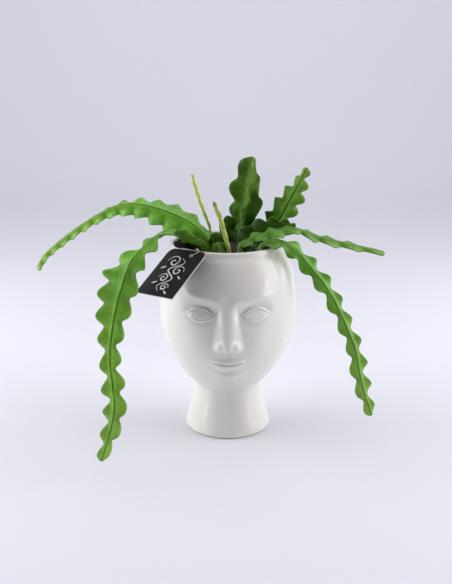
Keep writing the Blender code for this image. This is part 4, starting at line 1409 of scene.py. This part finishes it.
class POTTED_OT_soil(bpy.types.Operator):
    """Builds the potting soil with bark chips, grit and a tuft of coir on it"""

    bl_idname = "potted_cactus.soil"
    bl_label = "Potting soil"

    def execute(self, context):
        settings = context.scene.potted_soil
        colour, bits = settings.colour, settings.bits
        cake = make_soil_piece(settings)
        dark = soil_material("moist_soil", colour, shade(colour, 2.6), 900.0)
        show(cake, dark, "potting_soil", "soil")
        bark = make_soil_bits(settings, "bark_chips", (0.0008, 0.0024), 0.45, 3, bits)
        brown = soil_material("bark", shade(colour, 1.6), shade(colour, 5.0), 500.0)
        show(bark, brown, "potting_soil")
        grit = make_soil_bits(settings, "pale_grit", (0.0004, 0.0009), 0.9, 5, bits // 5)
        pale = soil_material("perlite", (0.42, 0.40, 0.36), (0.62, 0.60, 0.55), 900.0)
        show(grit, pale, "potting_soil")
        # The coir is near black: dark coir, with painted shade where the rim lies in shadow under
        # the stems.
        coir = soil_material("coir", (0.008, 0.006, 0.005), (0.030, 0.020, 0.012), 700.0)
        show(make_coir_tuft(), coir, "potting_soil")
        return {"FINISHED"}


class POTTED_OT_stems(bpy.types.Operator):
    """Builds the lobed stems and the young shoots"""

    bl_idname = "potted_cactus.stems"
    bl_label = "Stems and shoots"

    def execute(self, context):
        settings = context.scene.potted_plant
        for name, stem in STEMS.items():
            piece = make_stem_piece("fine_" + name, stem, settings)
            # The first value paints each stem's light and shade into its green; the third is its
            # painted edge light.
            tone_and_light, shine, edge = STEM_GREENS[name]
            skin_name = name + "_skin"
            if name.startswith("shoot"):
                green, dried = shade(settings.shoot_green, tone_and_light), float(name == "shoot_short")
                show(piece, shoot_material(skin_name, green, dried), "young_shoot", name)
            else:
                green, tip = shade(settings.green, tone_and_light), shade(settings.tip_green, tone_and_light)
                skin = stem_material(skin_name, green, tip, shine, shade(green, edge))
                show(piece, skin, "cactus_stem", name)
        wool = plain_paper_material("areole_wool", (0.34, 0.33, 0.20))
        show(make_areoles(settings), wool, "cactus_stem")
        return {"FINISHED"}


class POTTED_OT_tag(bpy.types.Operator):
    """Builds the card tag, its ornament and its loop of cord"""

    bl_idname = "potted_cactus.tag"
    bl_label = "Card tag"

    def execute(self, context):
        settings = context.scene.potted_tag
        card = make_card(settings)
        card.data.materials.append(card_material(settings))
        card.data.materials.append(plain_paper_material("paper_core", (0.70, 0.69, 0.66)))
        show(card, None, "black_card", "tag_card")
        show(make_print(settings), print_material(settings), "black_card")
        cord = cord_material("pale_cord", (0.72, 0.70, 0.66))
        show(make_loop(), cord, "tag_string", "tag_loop")
        return {"FINISHED"}


def add_softbox(name, place, aim, size, watts):
    start_fresh()
    bpy.ops.object.light_add(type="AREA", location=place)
    light = named(bpy.context.object, name)
    light.data.shape = "RECTANGLE"
    light.data.size, light.data.size_y = size
    light.data.energy = watts
    light.rotation_euler = (Vector(aim) - Vector(place)).to_track_quat("-Z", "Y").to_euler()


def add_sweep(settings):
    """A round floor that curves up into a wall, so that no edge shows behind the planter."""
    curve_middle = Vector((SWEEP_RADIUS - SWEEP_CURVE, SWEEP_CURVE))
    rise = arc(curve_middle, SWEEP_CURVE, -90, 0, 16)
    profile = [Vector((0.0, 0.0))] + rise + [Vector((SWEEP_RADIUS, SWEEP_HEIGHT))]
    floor = turn_profile(profile, 96, "studio_sweep")
    bpy.ops.mesh.normals_make_consistent(inside=True)
    bpy.ops.object.mode_set(mode="OBJECT")
    smooth_shaded(floor, 60.0)
    floor.data.materials.append(floor_material(settings))


class POTTED_OT_stage(bpy.types.Operator):
    """Sets the pale floor, the soft studio lights and the camera"""

    bl_idname = "potted_cactus.stage"
    bl_label = "Studio"

    def execute(self, context):
        settings = context.scene.potted_stage
        add_sweep(settings)
        for name, place, aim, size, key in LIGHTS:
            add_softbox(name, place, aim, size, getattr(settings, key))
        world = bpy.data.worlds.new("studio_light")
        world.use_nodes = True
        background = world.node_tree.nodes["Background"].inputs
        background["Color"].default_value = SKY_COLOUR
        background["Strength"].default_value = SKY_STRENGTH
        context.scene.world = world
        start_fresh()
        bpy.ops.object.camera_add(
            location=CAMERA_PLACE, rotation=(math.radians(90 - CAMERA_PITCH), 0.0, 0.0)
        )
        camera = named(bpy.context.object, "camera")
        camera.data.sensor_fit = "VERTICAL"
        camera.data.sensor_height = SENSOR
        camera.data.lens = CAMERA_LENS
        camera.data.clip_start = 0.01
        context.scene.camera = camera
        context.scene.view_settings.view_transform = "Standard"
        return {"FINISHED"}


class POTTED_PT_sidebar(bpy.types.Panel):
    """Lists the settings and the steps that build the potted cactus"""

    bl_idname = "POTTED_PT_sidebar"
    bl_label = "Potted cactus"
    bl_space_type = "VIEW_3D"
    bl_region_type = "UI"
    bl_category = "Potted cactus"

    def draw(self, context):
        for operator, group in STEPS:
            box = self.layout.box()
            settings = getattr(context.scene, group)
            for key in settings.bl_rna.properties.keys():
                if key not in ("rna_type", "name"):
                    box.prop(settings, key)
            box.operator(operator.bl_idname)


STEPS = (
    (POTTED_OT_planter, "potted_planter"),
    (POTTED_OT_soil, "potted_soil"),
    (POTTED_OT_stems, "potted_plant"),
    (POTTED_OT_tag, "potted_tag"),
    (POTTED_OT_stage, "potted_stage"),
)
GROUPS = {
    "potted_planter": PlanterSettings,
    "potted_soil": SoilSettings,
    "potted_plant": PlantSettings,
    "potted_tag": TagSettings,
    "potted_stage": StageSettings,
}


def register():
    for key, group in GROUPS.items():
        bpy.utils.register_class(group)
        setattr(bpy.types.Scene, key, PointerProperty(type=group))
    for operator, _ in STEPS:
        bpy.utils.register_class(operator)
    bpy.utils.register_class(POTTED_PT_sidebar)


def unregister():
    bpy.utils.unregister_class(POTTED_PT_sidebar)
    for operator, _ in reversed(STEPS):
        bpy.utils.unregister_class(operator)
    for key, group in reversed(GROUPS.items()):
        delattr(bpy.types.Scene, key)
        bpy.utils.unregister_class(group)


def main():
    register()
    bpy.ops.potted_cactus.planter()
    bpy.ops.potted_cactus.soil()
    bpy.ops.potted_cactus.stems()
    bpy.ops.potted_cactus.tag()
    bpy.ops.potted_cactus.stage()
    start_fresh()


if __name__ == "__main__":
    main()
